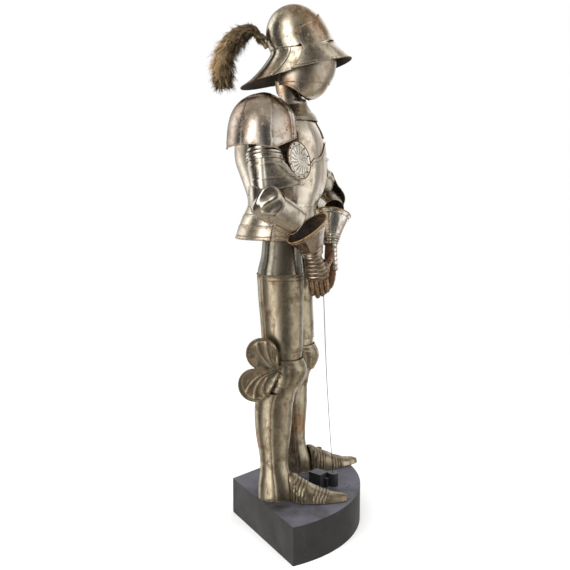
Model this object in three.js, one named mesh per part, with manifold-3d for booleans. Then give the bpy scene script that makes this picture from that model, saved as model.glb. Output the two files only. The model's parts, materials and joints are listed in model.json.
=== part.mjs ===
// Suit of plate armour with a visored sallet, standing on a low sector-shaped plinth.
// Millimetres, +Z up. The suit faces -Y, its left side is +X, and the plinth stands on Z = 0.
// Each stretch of the suit has a shaping form, worked out from a short table of rings, and a
// lattice of points on it. Every plate is a steel wall laid on such a lattice: a plate that
// lies on another is made from the same points, moved further out.
import * as THREE from 'three';
import * as BufferGeometryUtils from 'three/addons/utils/BufferGeometryUtils.js';
import Module from 'manifold-3d';

const wasm = await Module();
wasm.setup();

// ---------------------------------------------------------------- driving dimensions
const WALL = 1.8;                  // thickness of the steel plates
const GAP = 0.3;                   // clearance at seams and under overlaps
const STEP = WALL + GAP;           // how far out a plate lies that rests on another
const LEATHER = 2;                 // thickness of glove and strap leather
const PLINTH_HEIGHT = 140;
const PLINTH_RADIUS = 503;
const PLINTH_ANGLE = 110;          // degrees between the two straight sides
const PLINTH_CORNER = { x: 30, y: 220 };
const FLOOR = PLINTH_HEIGHT + GAP; // the feet stand here

// ---------------------------------------------------------------- materials
const steel = new THREE.MeshStandardMaterial({ color: 0xb4aa9a, roughness: 0.34, metalness: 1 });
const leather = new THREE.MeshStandardMaterial({ color: 0x6a4026, roughness: 0.8, metalness: 0 });
const feather = new THREE.MeshStandardMaterial({ color: 0x3a3226, roughness: 0.95, metalness: 0 });
const paint = new THREE.MeshStandardMaterial({ color: 0x37352f, roughness: 0.8, metalness: 0 });
const black = new THREE.MeshStandardMaterial({ color: 0x151516, roughness: 0.6, metalness: 0 });

const suit = new THREE.Group();

function add(name, geometry, material) {
  const mesh = new THREE.Mesh(geometry, material);
  mesh.name = name;
  suit.add(mesh);
}

// ---------------------------------------------------------------- small maths
const radians = (degrees) => degrees * Math.PI / 180;
const mix = (a, b, t) => a + (b - a) * t;
const clamp = (value, low, high) => Math.min(high, Math.max(low, value));
const vec = (x, y, z) => new THREE.Vector3(x, y, z);

function smooth(value, low, high) {
  const t = clamp((value - low) / (high - low), 0, 1);
  return t * t * (3 - 2 * t);
}

function range(from, to, count) {
  return Array.from({ length: count + 1 }, (_, i) => mix(from, to, i / count));
}

// Superellipse point for an angle: 0 is the front, +90 the suit's left. power 2 is a true ellipse.
function oval(angle, power) {
  const s = Math.sin(radians(angle));
  const c = Math.cos(radians(angle));
  return { side: Math.sign(s) * Math.abs(s) ** (2 / power), front: Math.sign(c) * Math.abs(c) ** (2 / power) };
}

// Smooth curve through the rows of a table whose first column is the station.
function table(columns, rows) {
  const stations = rows.map((row) => row[0]);
  const rising = stations[stations.length - 1] > stations[0];
  const slope = (i, k) => {
    const low = Math.max(i - 1, 0);
    const high = Math.min(i + 1, rows.length - 1);
    return (rows[high][k] - rows[low][k]) / (stations[high] - stations[low]);
  };
  return (station) => {
    let i = 0;
    while (i < rows.length - 2 && (rising ? station > stations[i + 1] : station < stations[i + 1])) i += 1;
    const width = stations[i + 1] - stations[i];
    const t = clamp((station - stations[i]) / width, 0, 1);
    const result = {};
    columns.forEach((column, k) => {
      result[column] = (2 * t ** 3 - 3 * t ** 2 + 1) * rows[i][k] + (t ** 3 - 2 * t ** 2 + t) * slope(i, k) * width
        + (3 * t ** 2 - 2 * t ** 3) * rows[i + 1][k] + (t ** 3 - t ** 2) * slope(i + 1, k) * width;
    });
    return result;
  };
}

// ---------------------------------------------------------------- lattices and plates
// Where a value lies in a list of rising or falling stations, as a row number with its fraction.
function rowOf(list, value) {
  const rising = list[list.length - 1] > list[0];
  let i = 0;
  while (i < list.length - 2 && (rising ? value > list[i + 1] : value < list[i + 1])) i += 1;
  return i + (value - list[i]) / (list[i + 1] - list[i]);
}

// Points and outward normals of a form, at every station and angle. probe is the small step
// along the stations for the normals: negative where the stations run upwards (Z).
// pole is the normal where the form closes to a point.
function lattice(form, stations, angles, { probe = -0.5, pole = vec(0, 0, 1), sense = 1 } = {}) {
  const nodes = stations.map((station) => angles.map((angle) => {
    const ds = form(station + probe, angle).sub(form(station - probe, angle));
    const da = form(station, angle + 0.5).sub(form(station, angle - 0.5));
    const normal = ds.cross(da).multiplyScalar(sense);
    const flat = normal.length() < 1e-7;
    return { point: form(station, angle), normal: flat ? pole.clone() : normal.normalize() };
  }));
  const lifted = (i, j, lift) => nodes[i][j].point.clone().addScaledVector(nodes[i][j].normal, lift);
  const at = (row, column, lift) => {
    const i = clamp(Math.floor(row), 0, stations.length - 2);
    const j = clamp(Math.floor(column), 0, angles.length - 2);
    const near = lifted(i, j, lift).lerp(lifted(i, j + 1, lift), column - j);
    const far = lifted(i + 1, j, lift).lerp(lifted(i + 1, j + 1, lift), column - j);
    return near.lerp(far, row - i);
  };
  return { stations, angles, at, sense };
}

// Closed wall on a lattice between the edges from/to (stations, which may depend on the angle)
// and left/right (angles, which may depend on the station). rows and columns override the
// lattice's own lines; hole(row, column) leaves a cell open.
function plate(base, { from, to, left, right, lift = 0, wall = WALL, rows, columns, hole }) {
  const value = (edge, x) => (typeof edge === 'function' ? edge(x) : edge);
  const ring = left === undefined;
  const angles = columns || (ring ? base.angles : base.angles.filter((angle, j) => {
    const spans = base.stations.map((station) => [value(left, station), value(right, station)]);
    const low = Math.min(...spans.map((span) => span[0]));
    const high = Math.max(...spans.map((span) => span[1]));
    return (base.angles[j + 1] ?? angle) > low && (base.angles[j - 1] ?? angle) < high;
  }));
  const firstOf = (edge) => angles.map((angle) => rowOf(base.stations, value(edge, angle)));
  const start = firstOf(from);
  const end = firstOf(to);
  const lines = rows || range(
    Math.floor(Math.min(...start) + 1e-6),
    Math.ceil(Math.max(...end) - 1e-6),
    Math.ceil(Math.max(...end) - 1e-6) - Math.floor(Math.min(...start) + 1e-6),
  ).map((row) => () => row);
  const cols = angles.length - 1;
  const across = ring ? cols : cols + 1;
  const outer = [];
  const inner = [];
  lines.forEach((line) => {
    for (let j = 0; j < across; j += 1) {
      const row = clamp(line(angles[j]), start[j], end[j]);
      const station = base.stations[clamp(Math.round(row), 0, base.stations.length - 1)];
      const angle = ring ? angles[j] : clamp(angles[j], value(left, station), value(right, station));
      const column = rowOf(base.angles, angle);
      outer.push(base.at(row, column, lift + wall));
      inner.push(base.at(row, column, lift));
    }
  });
  return wallBetween(outer, inner, lines.length - 1, cols, ring, base.sense, hole);
}

// Closed body from an outer and an inner sheet of points, with rims round every open edge.
function wallBetween(outer, inner, rows, cols, ring, sense, hole) {
  const across = ring ? cols : cols + 1;
  const shift = outer.length;
  const at = (i, j) => i * across + (ring ? (j + cols) % cols : j);
  const metal = (i, j) => {
    if (i < 0 || i >= rows || (!ring && (j < 0 || j >= cols))) return false;
    return !(hole && hole(i, (j + cols) % cols));
  };
  const faces = [];
  const quad = (a, b, c, d) => faces.push([a, b, c], [a, c, d]);
  for (let i = 0; i < rows; i += 1) {
    for (let j = 0; j < cols; j += 1) {
      if (!metal(i, j)) continue;
      const [a, b, c, d] = [at(i, j), at(i + 1, j), at(i + 1, j + 1), at(i, j + 1)];
      quad(a, b, c, d);
      quad(d + shift, c + shift, b + shift, a + shift);
      if (!metal(i - 1, j)) quad(a, d, d + shift, a + shift);
      if (!metal(i + 1, j)) quad(c, b, b + shift, c + shift);
      if (!metal(i, j - 1)) quad(b, a, a + shift, b + shift);
      if (!metal(i, j + 1)) quad(d, c, c + shift, d + shift);
    }
  }
  return weld(outer.concat(inner), faces, sense);
}

// Joins equal points and drops faces that have collapsed; sense -1 turns the faces over.
function weld(points, faces, sense = 1) {
  const index = new Map();
  const kept = [];
  const where = points.map((point) => {
    const key = point.toArray().map((coordinate) => Math.round(coordinate * 1e3)).join();
    if (!index.has(key)) {
      index.set(key, kept.length);
      kept.push(point);
    }
    return index.get(key);
  });
  const list = [];
  for (const face of faces) {
    const [a, b, c] = face.map((k) => where[k]);
    if (a === b || b === c || a === c) continue;
    list.push(...(sense > 0 ? [a, b, c] : [a, c, b]));
  }
  const geometry = new THREE.BufferGeometry();
  geometry.setAttribute('position', new THREE.Float32BufferAttribute(kept.flatMap((p) => p.toArray()), 3));
  geometry.setIndex(list);
  return geometry;
}

// Closed body of rings round a path, capped at both ends.
function capped(form, stations, count) {
  const points = stations.flatMap((station) => range(0, 360, count).slice(0, count).map((a) => form(station, a)));
  const last = (stations.length - 1) * count;
  const faces = [];
  for (let i = 0; i < stations.length - 1; i += 1) {
    for (let j = 0; j < count; j += 1) {
      const k = (j + 1) % count;
      const [a, b, c, d] = [i * count + j, (i + 1) * count + j, (i + 1) * count + k, i * count + k];
      faces.push([a, b, c], [a, c, d]);
    }
  }
  for (let j = 1; j < count - 1; j += 1) faces.push([0, j, j + 1], [last, last + j + 1, last + j]);
  const volume = faces.reduce((sum, [a, b, c]) => sum + points[a].dot(points[b].clone().cross(points[c])), 0);
  return weld(points, faces, Math.sign(volume));
}

// ---------------------------------------------------------------- booleans
function toManifold(geometry) {
  const bare = geometry.clone();
  bare.deleteAttribute('normal');
  bare.deleteAttribute('uv');
  const merged = BufferGeometryUtils.mergeVertices(bare, 1e-3);
  const vertProperties = new Float32Array(merged.attributes.position.array);
  const triVerts = new Uint32Array(merged.index.array);
  return new wasm.Manifold(new wasm.Mesh({ numProp: 3, vertProperties, triVerts }));
}

function fromManifold(solid) {
  const mesh = solid.getMesh();
  const geometry = new THREE.BufferGeometry();
  geometry.setAttribute('position', new THREE.BufferAttribute(new Float32Array(mesh.vertProperties), 3));
  geometry.setIndex(new THREE.BufferAttribute(new Uint32Array(mesh.triVerts), 1));
  return geometry;
}

// ================================================================ stand
// Plinth: a sector-shaped block, its straight sides meeting at a corner behind the suit, with a
// small round socket knob behind the left foot.
const KNOB = { x: 288, y: -100, foot: 15, top: 12, height: 54 };

function plinthGeometry() {
  const half = radians(PLINTH_ANGLE / 2);
  const shape = new THREE.Shape();
  shape.moveTo(0, 0);
  shape.lineTo(-PLINTH_RADIUS * Math.sin(half), -PLINTH_RADIUS * Math.cos(half));
  shape.absarc(0, 0, PLINTH_RADIUS, -Math.PI / 2 - half, -Math.PI / 2 + half, false);
  shape.lineTo(0, 0);
  const block = new THREE.ExtrudeGeometry(shape, { depth: PLINTH_HEIGHT, bevelEnabled: false, curveSegments: 24 });
  block.translate(PLINTH_CORNER.x, PLINTH_CORNER.y, 0);
  const knob = new THREE.CylinderGeometry(KNOB.top, KNOB.foot, KNOB.height, 14);
  knob.rotateX(Math.PI / 2).translate(KNOB.x, KNOB.y, PLINTH_HEIGHT - 2 + KNOB.height / 2);
  return fromManifold(toManifold(block).add(toManifold(knob)));
}
add('plinth', plinthGeometry(), paint);

// Sword socket: a black block with a drilled round lug in front of it.
const BLOCK = { x: 2, y: -123, width: 56, length: 50, height: 55, turn: 55 };
const LUG = { x: 10, y: -178, radius: 20, bore: 7, height: 52, depth: 15 };

function socketGeometry() {
  const block = new THREE.BoxGeometry(BLOCK.width, BLOCK.length, BLOCK.height);
  block.rotateZ(radians(BLOCK.turn)).translate(BLOCK.x, BLOCK.y, FLOOR + BLOCK.height / 2);
  const lug = new THREE.CylinderGeometry(LUG.radius, LUG.radius, LUG.height, 18);
  lug.rotateX(Math.PI / 2).translate(LUG.x, LUG.y, FLOOR + LUG.height / 2);
  const neck = new THREE.BoxGeometry(26, 40, 34);
  neck.rotateZ(radians(BLOCK.turn)).translate(mix(BLOCK.x, LUG.x, 0.6), mix(BLOCK.y, LUG.y, 0.6), FLOOR + 17);
  const bore = new THREE.CylinderGeometry(LUG.bore / 2, LUG.bore / 2, 2 * LUG.depth, 10);
  bore.rotateX(Math.PI / 2).translate(LUG.x, LUG.y, FLOOR + LUG.height);
  return fromManifold(toManifold(block).add(toManifold(lug)).add(toManifold(neck)).subtract(toManifold(bore)));
}
add('sword_socket', socketGeometry(), black);

// Stay wire: from the lug's bore up between the hands.
const WIRE = {
  radius: 1.3,
  foot: vec(LUG.x, LUG.y, FLOOR + LUG.height - LUG.depth + 2 * GAP),
  bow: vec(-2, -152, 560),
  top: vec(-30, -137, 950),
};
const wireSection = new THREE.Shape(range(0, 360, 6).slice(0, 6)
  .map((a) => new THREE.Vector2(WIRE.radius * Math.cos(radians(a)), WIRE.radius * Math.sin(radians(a)))));
add('stay_wire', new THREE.ExtrudeGeometry(wireSection, {
  steps: 6,
  extrudePath: new THREE.CatmullRomCurve3([WIRE.foot, WIRE.bow, WIRE.top]),
  bevelEnabled: false,
}), steel);

// ================================================================ helmet
// Rings from the crown down to the rim. Each ring leans back with the rim, so it is given by its
// front and back points and its half width.
const helmetRings = table(['ring', 'frontY', 'frontZ', 'backY', 'backZ', 'half'], [
  [0, -26, 1935, -26, 1935, 0],
  [1, -66, 1923, 14, 1925, 50],
  [2, -105, 1896, 49, 1902, 79],
  [3, -129, 1862, 68, 1870, 96],
  [4, -145, 1834, 74, 1838, 104],
  [5, -160, 1806, 72, 1808, 108],
  [6, -176, 1784, 64, 1786, 110],
  [7, -191, 1770, 57, 1763, 113],
  [8, -208, 1755, 84, 1721, 119],
  [9, -219, 1747, 126, 1676, 125],
  [10, -228, 1741, 171, 1641, 130],
]);

function helmet(ring, angle) {
  const r = helmetRings(ring);
  const { side, front } = oval(angle, 2.15);
  return vec(r.half * side, mix(r.backY, r.frontY, (front + 1) / 2), mix(r.backZ, r.frontZ, (front + 1) / 2));
}
const helmetLattice = lattice(helmet, [0, 0.5, 1.2, 2, 3, 4, 5, 6, 6.6, 7.4, 8.2, 9.1, 10], range(-180, 540, 40), { probe: 0.05 });
const around = range(-180, 180, 20);

// Skull: open at the face, its lower edge level round the nape, with a short tube brazed to its
// back for the plume.
const SOCKET_TUBE = { foot: vec(0, 76, 1790), top: vec(0, 101, 1826), outer: 9, inner: 7.4 };

function tubeGeometry({ foot, top, outer, inner }) {
  const length = foot.distanceTo(top);
  const profile = [[inner, 0], [outer, 0], [outer, length], [inner, length], [inner, 0]]
    .map(([r, h]) => new THREE.Vector2(r, h));
  const turn = new THREE.Quaternion().setFromUnitVectors(vec(0, 1, 0), top.clone().sub(foot).normalize());
  return new THREE.LatheGeometry(profile, 10).applyQuaternion(turn).translate(foot.x, foot.y, foot.z);
}
const skullShell = plate(helmetLattice, {
  from: 0,
  to: (angle) => mix(3.4, 6.6, smooth(Math.abs(angle), 66, 98)),
  columns: around,
  lift: STEP,
});
add('sallet_skull', fromManifold(toManifold(skullShell).add(toManifold(tubeGeometry(SOCKET_TUBE)))), steel);

// Neck lame: the inner plate of the tail, seen at each side between visor and tail plate.
add('neck_lame', plate(helmetLattice, {
  from: 6.66,
  to: (angle) => (Math.abs(angle - 180) < 60 ? 9.1 : 10),
  left: 84,
  right: 276,
}), steel);

// Tail plate: its long point hangs over the nape.
add('tail_plate', plate(helmetLattice, { from: 6.72, to: 10, left: 108, right: 252, lift: STEP + GAP }), steel);

// Visor: from the brow over the sight slit to the front half of the rim.
const VISOR = { half: 90, top: 1.95, topSide: 4.25, slit: 5, slitSide: 5.7, slitHalf: 45, slitHeight: 0.32 };
const visorTop = (angle) => mix(VISOR.top, VISOR.topSide, (Math.abs(angle) / VISOR.half) ** 1.4);
const visorSlit = (angle) => mix(VISOR.slit, VISOR.slitSide, Math.min(Math.abs(angle) / VISOR.slitHalf, 1.3) ** 1.6);
const visorRow = (ring) => rowOf(helmetLattice.stations, ring);
add('visor', plate(helmetLattice, {
  from: VISOR.top,
  to: 10,
  left: -VISOR.half,
  right: VISOR.half,
  lift: 2 * STEP + 1.8,
  columns: [-90, -72, -54, -45, -36, -18, 0, 18, 36, 45, 54, 72, 90],
  rows: [0, 1 / 3, 2 / 3, 1].map((t) => (angle) => visorRow(mix(visorTop(angle), visorSlit(angle), t)))
    .concat([0, 0.25, 0.5, 0.75, 1].map((t) => (angle) => (
      visorRow(mix(visorSlit(angle) + VISOR.slitHeight, 10, t))))),
  hole: (row, column) => row === 3 && column > 2 && column < 9,
}), steel);

// Plume: a plain solid of the feathers' reach, from the mouth of its socket.
const plumeSpine = table(['t', 'y', 'z', 'r'], [
  [0, 102.5, 1828.5, 7],
  [0.5, 107.5, 1834, 12],
  [1, 114, 1841, 18],
  [2, 132, 1851, 27],
  [3, 164, 1843, 38],
  [4, 203, 1814, 42],
  [5, 231, 1772, 44],
  [6, 241, 1731, 44],
  [7, 241, 1696, 39],
  [8, 240, 1666, 20],
]);
function plume(t, angle) {
  const here = plumeSpine(t);
  const ahead = plumeSpine(Math.min(t + 0.05, 8));
  const behind = plumeSpine(Math.max(t - 0.05, 0));
  const along = vec(0, ahead.y - behind.y, ahead.z - behind.z).normalize();
  const across = vec(1, 0, 0);
  return vec(0, here.y, here.z).addScaledVector(across, here.r * Math.sin(radians(angle)))
    .addScaledVector(across.clone().cross(along), here.r * Math.cos(radians(angle)));
}
add('plume', capped(plume, [0, 0.5, 1.2, 2, 3, 4, 5, 6, 7, 7.6, 8], 12), feather);

// ================================================================ bevor and gorget
const bevorRings = table(['ring', 'z', 'front', 'back', 'half'], [
  [0, 1766, -166, 62, 96],
  [1, 1734, -168, 62, 97],
  [2, 1692, -162, 60, 95],
  [3, 1664, -148, 58, 91],
  [4, 1638, -134, 56, 87],
  [5, 1619, -117, 54, 83],
  [6, 1609, -100, 52, 80],
  [7, 1608, -80, 50, 77],
]);
function bevor(ring, angle) {
  const r = bevorRings(ring);
  const { side, front } = oval(angle, 2);
  const keel = 5 * Math.max(0, 1 - Math.abs(angle) / 22);
  return vec(r.half * side, mix(r.back, r.front - keel, (front + 1) / 2), r.z);
}
const bevorLattice = lattice(bevor, [0, 1.3, 2.7, 3.3, 4.2, 5.4, 7], range(-130, 130, 13), { probe: 0.05 });
// The lower edge rises along the jaw towards the ears.
const jaw = (angle) => mix(7, 3.6, smooth(Math.abs(angle), 15, 125));
add('bevor_face', plate(bevorLattice, { from: 0, to: 3.3, left: -130, right: 130, lift: STEP + GAP }), steel);
add('bevor_chin', plate(bevorLattice, { from: 2.7, to: jaw, left: -130, right: 130 }), steel);

const gorgetRings = table(['z', 'front', 'back', 'half'], [
  [1668, -60, 74, 68],
  [1610, -64, 66, 68],
  [1584, -71, 70, 73],
  [1562, -84, 100, 91],
  [1546, -99, 146, 110],
  [1522, -110, 170, 131],
]);
function gorget(z, angle) {
  const r = gorgetRings(z);
  const { side, front } = oval(angle, 2);
  return vec(r.half * side, mix(r.back, r.front, (front + 1) / 2), z);
}
// Its rear edge sweeps forward as it goes down, and its upper edge dips below the chin in front.
const gorgetReach = (z) => mix(118, 62, smooth(1652 - z, 20, 118));
add('gorget', plate(lattice(gorget, [1668, 1636, 1605, 1584, 1562, 1544, 1524], range(-120, 120, 12)), {
  from: (angle) => mix(1604, 1664, smooth(Math.abs(angle), 30, 72)),
  to: 1524,
  left: (z) => -gorgetReach(z),
  right: gorgetReach,
}), steel);

// ================================================================ trunk
const trunkRings = table(['z', 'half', 'front', 'back'], [
  [1548, 98, -90, 138],
  [1520, 122, -102, 162],
  [1480, 146, -121, 182],
  [1430, 162, -129, 190],
  [1380, 168, -133, 187],
  [1330, 167, -134, 170],
  [1280, 159, -124, 152],
  [1245, 152, -112, 142],
  [1218, 149, -103, 142],
  [1190, 158, -104, 154],
  [1150, 172, -108, 169],
  [1098, 186, -112, 184],
]);
function trunk(z, angle) {
  const r = trunkRings(z);
  const folded = Math.abs(((angle + 180) % 360) - 180);
  const { side, front } = oval(angle, 2.25);
  const keel = 6 * Math.max(0, 1 - folded / 18) * smooth(z, 1215, 1290) * (1 - smooth(z, 1440, 1515));
  return vec(r.half * side, mix(r.back, r.front - keel, (front + 1) / 2), z);
}
const WAIST = 1218;
const HEM = 1099;
const SIDE_SEAM = 0.12;            // half the opening at the side seams, in degrees
const trunkLattice = lattice(trunk, [1548, 1520, 1480, 1430, 1385, 1340, 1290, 1250, WAIST, 1182, 1140, HEM], range(-180, 360, 30));
const seam = 90 - SIDE_SEAM;
// The armholes cut the sides back between chest and shoulder.
const armhole = (z) => smooth(z, 1350, 1400) * (1 - smooth(z, 1470, 1535));
add('breastplate', plate(trunkLattice, {
  from: 1548,
  to: WAIST + GAP,
  left: (z) => -(seam - 30 * armhole(z)),
  right: (z) => seam - 30 * armhole(z),
}), steel);
add('backplate', plate(trunkLattice, {
  from: 1548,
  to: WAIST + GAP,
  left: (z) => 180 - (seam - 26 * armhole(z)),
  right: (z) => 180 + (seam - 26 * armhole(z)),
  lift: STEP,
}), steel);

// Plackart: the lower breast, its upper edge drawn up in cusps to a point on the breastbone.
function cusps(angle) {
  const share = Math.min(Math.abs(angle) / seam, 1);
  return 1346 + 104 * (1 - share) ** 1.7 - 16 * Math.abs(Math.sin(Math.PI * 2.5 * share));
}
add('plackart', plate(trunkLattice, {
  from: cusps,
  to: WAIST + GAP,
  left: -seam,
  right: seam,
  lift: STEP + 1,
  columns: range(-90, 90, 20),
}), steel);

// Fauld in front and culet behind: hoops under the waist, each lapping over the one above.
const fauldHoops = [[WAIST - GAP, 1158], [1166, HEM]];
const culetHoops = [[WAIST - GAP, 1176], [1184, 1138], [1146, HEM]];
fauldHoops.forEach(([from, to], k) => {
  add(`fauld_${k + 1}`, plate(trunkLattice, { from, to, left: -seam, right: seam, lift: (k + 1) * STEP }), steel);
});
culetHoops.forEach(([from, to], k) => {
  add(`culet_${k + 1}`, plate(trunkLattice, { from, to, left: 180 - seam, right: 180 + seam, lift: (k + 1) * STEP }), steel);
});

// Strap down the breastbone, from the gorget over the breastplate.
add('breast_strap', plate(trunkLattice, {
  from: 1520,
  to: 1462,
  left: -4.5,
  right: 4.5,
  lift: STEP + 0.6,
  wall: LEATHER,
  columns: [-4.5, 0, 4.5],
}), leather);

// ================================================================ legs
const HIP = 1112;
const legRings = table(['z', 'out', 'half', 'front', 'back'], [
  [HIP, 104, 68, -60, 74],
  [1040, 107, 72, -63, 80],
  [985, 110, 76, -68, 92],
  [940, 113, 76, -68, 90],
  [880, 116, 74, -69, 86],
  [809, 120, 70, -69, 79],
  [717, 125, 64, -68, 71],
  [660, 127, 59, -64, 57],
  [620, 128, 57, -66, 56],
  [580, 129, 55, -58, 62],
  [545, 130, 57, -42, 88],
  [494, 131, 59, -33, 101],
  [433, 132, 58, -30, 101],
  [375, 133, 53, -24, 96],
  [318, 134, 46, -18, 86],
  [270, 135, 42, -18, 81],
  [235, 136, 41, -26, 83],
  [190, 137, 42, -40, 88],
  [FLOOR, 138, 42, -46, 88],
]);
const kneeRings = table(['z', 'half', 'front'], [
  [672, 64, -68],
  [650, 68, -76],
  [622, 70, -79],
  [598, 68, -75],
  [576, 64, -64],
]);
const KNEE_X = 128;
const LEG_Y = 20;                  // the legs' axis, and the point their rings turn about
const ANKLE = 300;                 // height where the pose is fully applied

// Knee wing: two round lobes fanning backwards from the side of the knee.
const WING = {
  root: { y: 2, z: 640 },
  lobes: [{ y: 62, z: 704, r: 58 }, { y: 88, z: 590, r: 61 }],
  stand: 77,
  lean: 20,
  waist: 24,
};
function wingReach(direction) {
  const dy = Math.cos(direction);
  const dz = Math.sin(direction);
  return Math.max(...WING.lobes.map(({ y, z, r }) => {
    const oy = WING.root.y - y;
    const oz = WING.root.z - z;
    const along = oy * dy + oz * dz;
    const inside = along * along - (oy * oy + oz * oz - r * r);
    return inside > 0 ? -along + Math.sqrt(inside) : WING.waist;
  }));
}

// side is -1 for the right leg, +1 for the left. pose moves the leg forward and outward and
// turns it as it goes down.
function buildLeg(label, side, pose) {
  const name = (piece) => `${piece}_${label}`;
  const place = (x, y, z, turnShare = 1) => {
    const down = clamp((HIP - z) / (HIP - ANKLE), 0, 1);
    const local = vec(x, y - LEG_Y, 0).applyAxisAngle(vec(0, 0, 1), radians(pose.turnOut * turnShare * down ** 1.5));
    return { local, down };
  };
  const leg = (z, angle) => {
    const r = legRings(z);
    const { side: across, front } = oval(angle, 2.15);
    const { local, down } = place(r.half * across, mix(r.back, r.front, (front + 1) / 2), z);
    return vec(side * (r.out + pose.spread * down) + local.x, LEG_Y + local.y - pose.advance * down, z);
  };
  const thigh = lattice(leg, [1110, 1045, 980, 950, 880, 800, 718, 700, 655], range(-180, 360, 24));
  add(name('thigh_plate'), plate(thigh, { from: 1110, to: 950, columns: range(-180, 180, 16) }), steel);

  // Cuisse: wraps the front and sides of the thigh, with a hinged strip down its back.
  add(name('cuisse'), plate(thigh, { from: 980, to: 700, left: -140, right: 140, lift: STEP }), steel);
  add(name('cuisse_back'), plate(thigh, { from: 980, to: 718, left: 140.5, right: 219.5, lift: STEP }), steel);
  add(name('knee_lame_upper'), plate(thigh, { from: 718, to: 655, left: -96, right: 96 }), steel);

  const knee = (z, angle) => {
    const r = kneeRings(z);
    const { side: across, front } = oval(angle, 2.1);
    const { local, down } = place(r.half * across, mix(58, r.front, (front + 1) / 2), z);
    return vec(side * (KNEE_X + pose.spread * down) + local.x, LEG_Y + local.y - pose.advance * down, z);
  };
  add(name('poleyn'), plate(lattice(knee, [672, 652, 624, 598, 576], range(-104, 104, 10)), {
    from: 672,
    to: 576,
    left: -104,
    right: 104,
    lift: STEP,
  }), steel);

  const wing = (share, ray) => {
    const direction = radians(mix(118, -108, ray / 100));
    const reach = wingReach(direction) * share / 100;
    const z = WING.root.z + Math.sin(direction) * reach;
    const x = side * (WING.stand + WING.lean * (share / 100) ** 1.4);
    const { local, down } = place(x, WING.root.y + Math.cos(direction) * reach, z, 0.7);
    return vec(side * (KNEE_X + pose.spread * down) + local.x, LEG_Y + local.y - pose.advance * down, z);
  };
  add(name('poleyn_wing'), plate(lattice(wing, [14, 50, 84, 100], range(0, 100, 15), { probe: 0.5, sense: -side }), {
    from: 14,
    to: 100,
    left: 0,
    right: 100,
  }), steel);

  // Shin: the lame below the knee comes to a blunt point over the greave, whose front and back
  // plates run down to the sole.
  const shin = lattice(leg, [594, 548, 500, 425, 345, 275, 215, FLOOR], range(-180, 360, 24));
  const greaveSeam = 90;
  add(name('knee_lame_lower'), plate(shin, {
    from: 594,
    to: (angle) => mix(508, 552, (Math.abs(angle) / 84) ** 1.3),
    left: -84,
    right: 84,
    lift: STEP,
  }), steel);
  add(name('greave_front'), plate(shin, { from: 548, to: FLOOR, left: -greaveSeam, right: greaveSeam }), steel);
  add(name('greave_back'), plate(shin, {
    from: 548,
    to: FLOOR,
    left: greaveSeam + 0.4,
    right: 360 - greaveSeam - 0.4,
  }), steel);

  // Sabaton: arches from the instep to the point of the toe, open under the sole.
  const foot = table(['d', 'half', 'top', 'bend'], [
    [54, 41, 237, 0],
    [72, 44, 236, 0],
    [90, 46, 222, 0],
    [118, 47, 207, 0],
    [152, 47, 189, 2],
    [190, 42, 175, 4],
    [226, 32, 167, 7],
    [254, 20, 165, 9],
    [270, 9, 159, 10],
  ]);
  const heading = radians(pose.footTurn);
  const forward = vec(Math.sin(heading), -Math.cos(heading), 0);
  const left = vec(-forward.y, forward.x, 0);
  const sole = FLOOR + 2.5;
  const arch = (d, angle) => {
    const f = foot(d);
    const { side: across, front } = oval(angle, 2.3);
    return pose.ankle.clone().addScaledVector(forward, d).addScaledVector(left, f.half * across - side * f.bend)
      .setZ(sole + (f.top - sole) * Math.max(front, 0));
  };
  add(name('sabaton'), plate(lattice(arch, [62, 82, 115, 160, 205, 245, 270], range(-90, 90, 8), { probe: 0.5 }), {
    from: 62,
    to: 270,
    left: -90,
    right: 90,
  }), steel);
}
buildLeg('right', -1, { advance: 0, spread: 0, turnOut: 0, footTurn: 0, ankle: vec(-138, 30, 0) });
buildLeg('left', 1, { advance: 36, spread: 14, turnOut: 24, footTurn: 28.5, ankle: vec(154, -14, 0) });

// ================================================================ arms
// Pauldron: ribs from the breast edge over the shoulder to the edge on the back. Each rib rises
// from its foot as a quarter ellipse and arrives level at the neck edge.
const pauldronRibs = table(['rib', 'footX', 'footY', 'footZ', 'neckX', 'neckY', 'neckZ'], [
  [0, 162, -50, 1457, 122, -44, 1528],
  [1, 198, -52, 1453, 119, -16, 1564],
  [2, 252, -37, 1440, 118, 12, 1592],
  [3, 296, 14, 1418, 121, 40, 1608],
  [4, 304, 66, 1428, 123, 66, 1614],
  [5, 292, 116, 1428, 123, 94, 1609],
  [6, 258, 158, 1424, 120, 122, 1597],
  [7, 212, 182, 1420, 116, 148, 1576],
  [8, 170, 189, 1418, 112, 164, 1550],
]);

// Frame of a straight limb section at `from`, looking along it, with its front towards `ahead`.
function limbFrame(from, to, ahead = vec(0, -1, 0)) {
  const along = to.clone().sub(from).normalize();
  const front = ahead.clone().addScaledVector(along, -ahead.dot(along)).normalize();
  return { from, along, front, side: front.clone().cross(along) };
}

// Point at a distance along the frame, on an oval of half width `half`.
function limbPoint(frame, distance, angle, { half, front, back }) {
  const cosine = Math.cos(radians(angle));
  return frame.from.clone().addScaledVector(frame.along, distance)
    .addScaledVector(frame.side, half * Math.sin(radians(angle)))
    .addScaledVector(frame.front, (cosine > 0 ? front : back) * cosine);
}

const upperArmRings = table(['share', 'half', 'front', 'back'], [
  [0.15, 48, 44, 48],
  [0.27, 51, 49, 55],
  [0.41, 52, 56, 58],
  [0.53, 52, 66, 59],
  [0.68, 52, 84, 57],
  [0.85, 52, 112, 53],
  [0.93, 51, 126, 51],
  [1, 50, 104, 49],
]);
const ELBOW_RADIUS = 52;
const COUTER = { inner: 57.5, tip: 5, wing: 34, flare: 12, inside: 8 };
const BESAGEW = { radius: 66, boss: 17 };
const GLOVE_FINGERS = [64, 78, 84, 72];
const FINGER_PITCH = 17.4;

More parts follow.
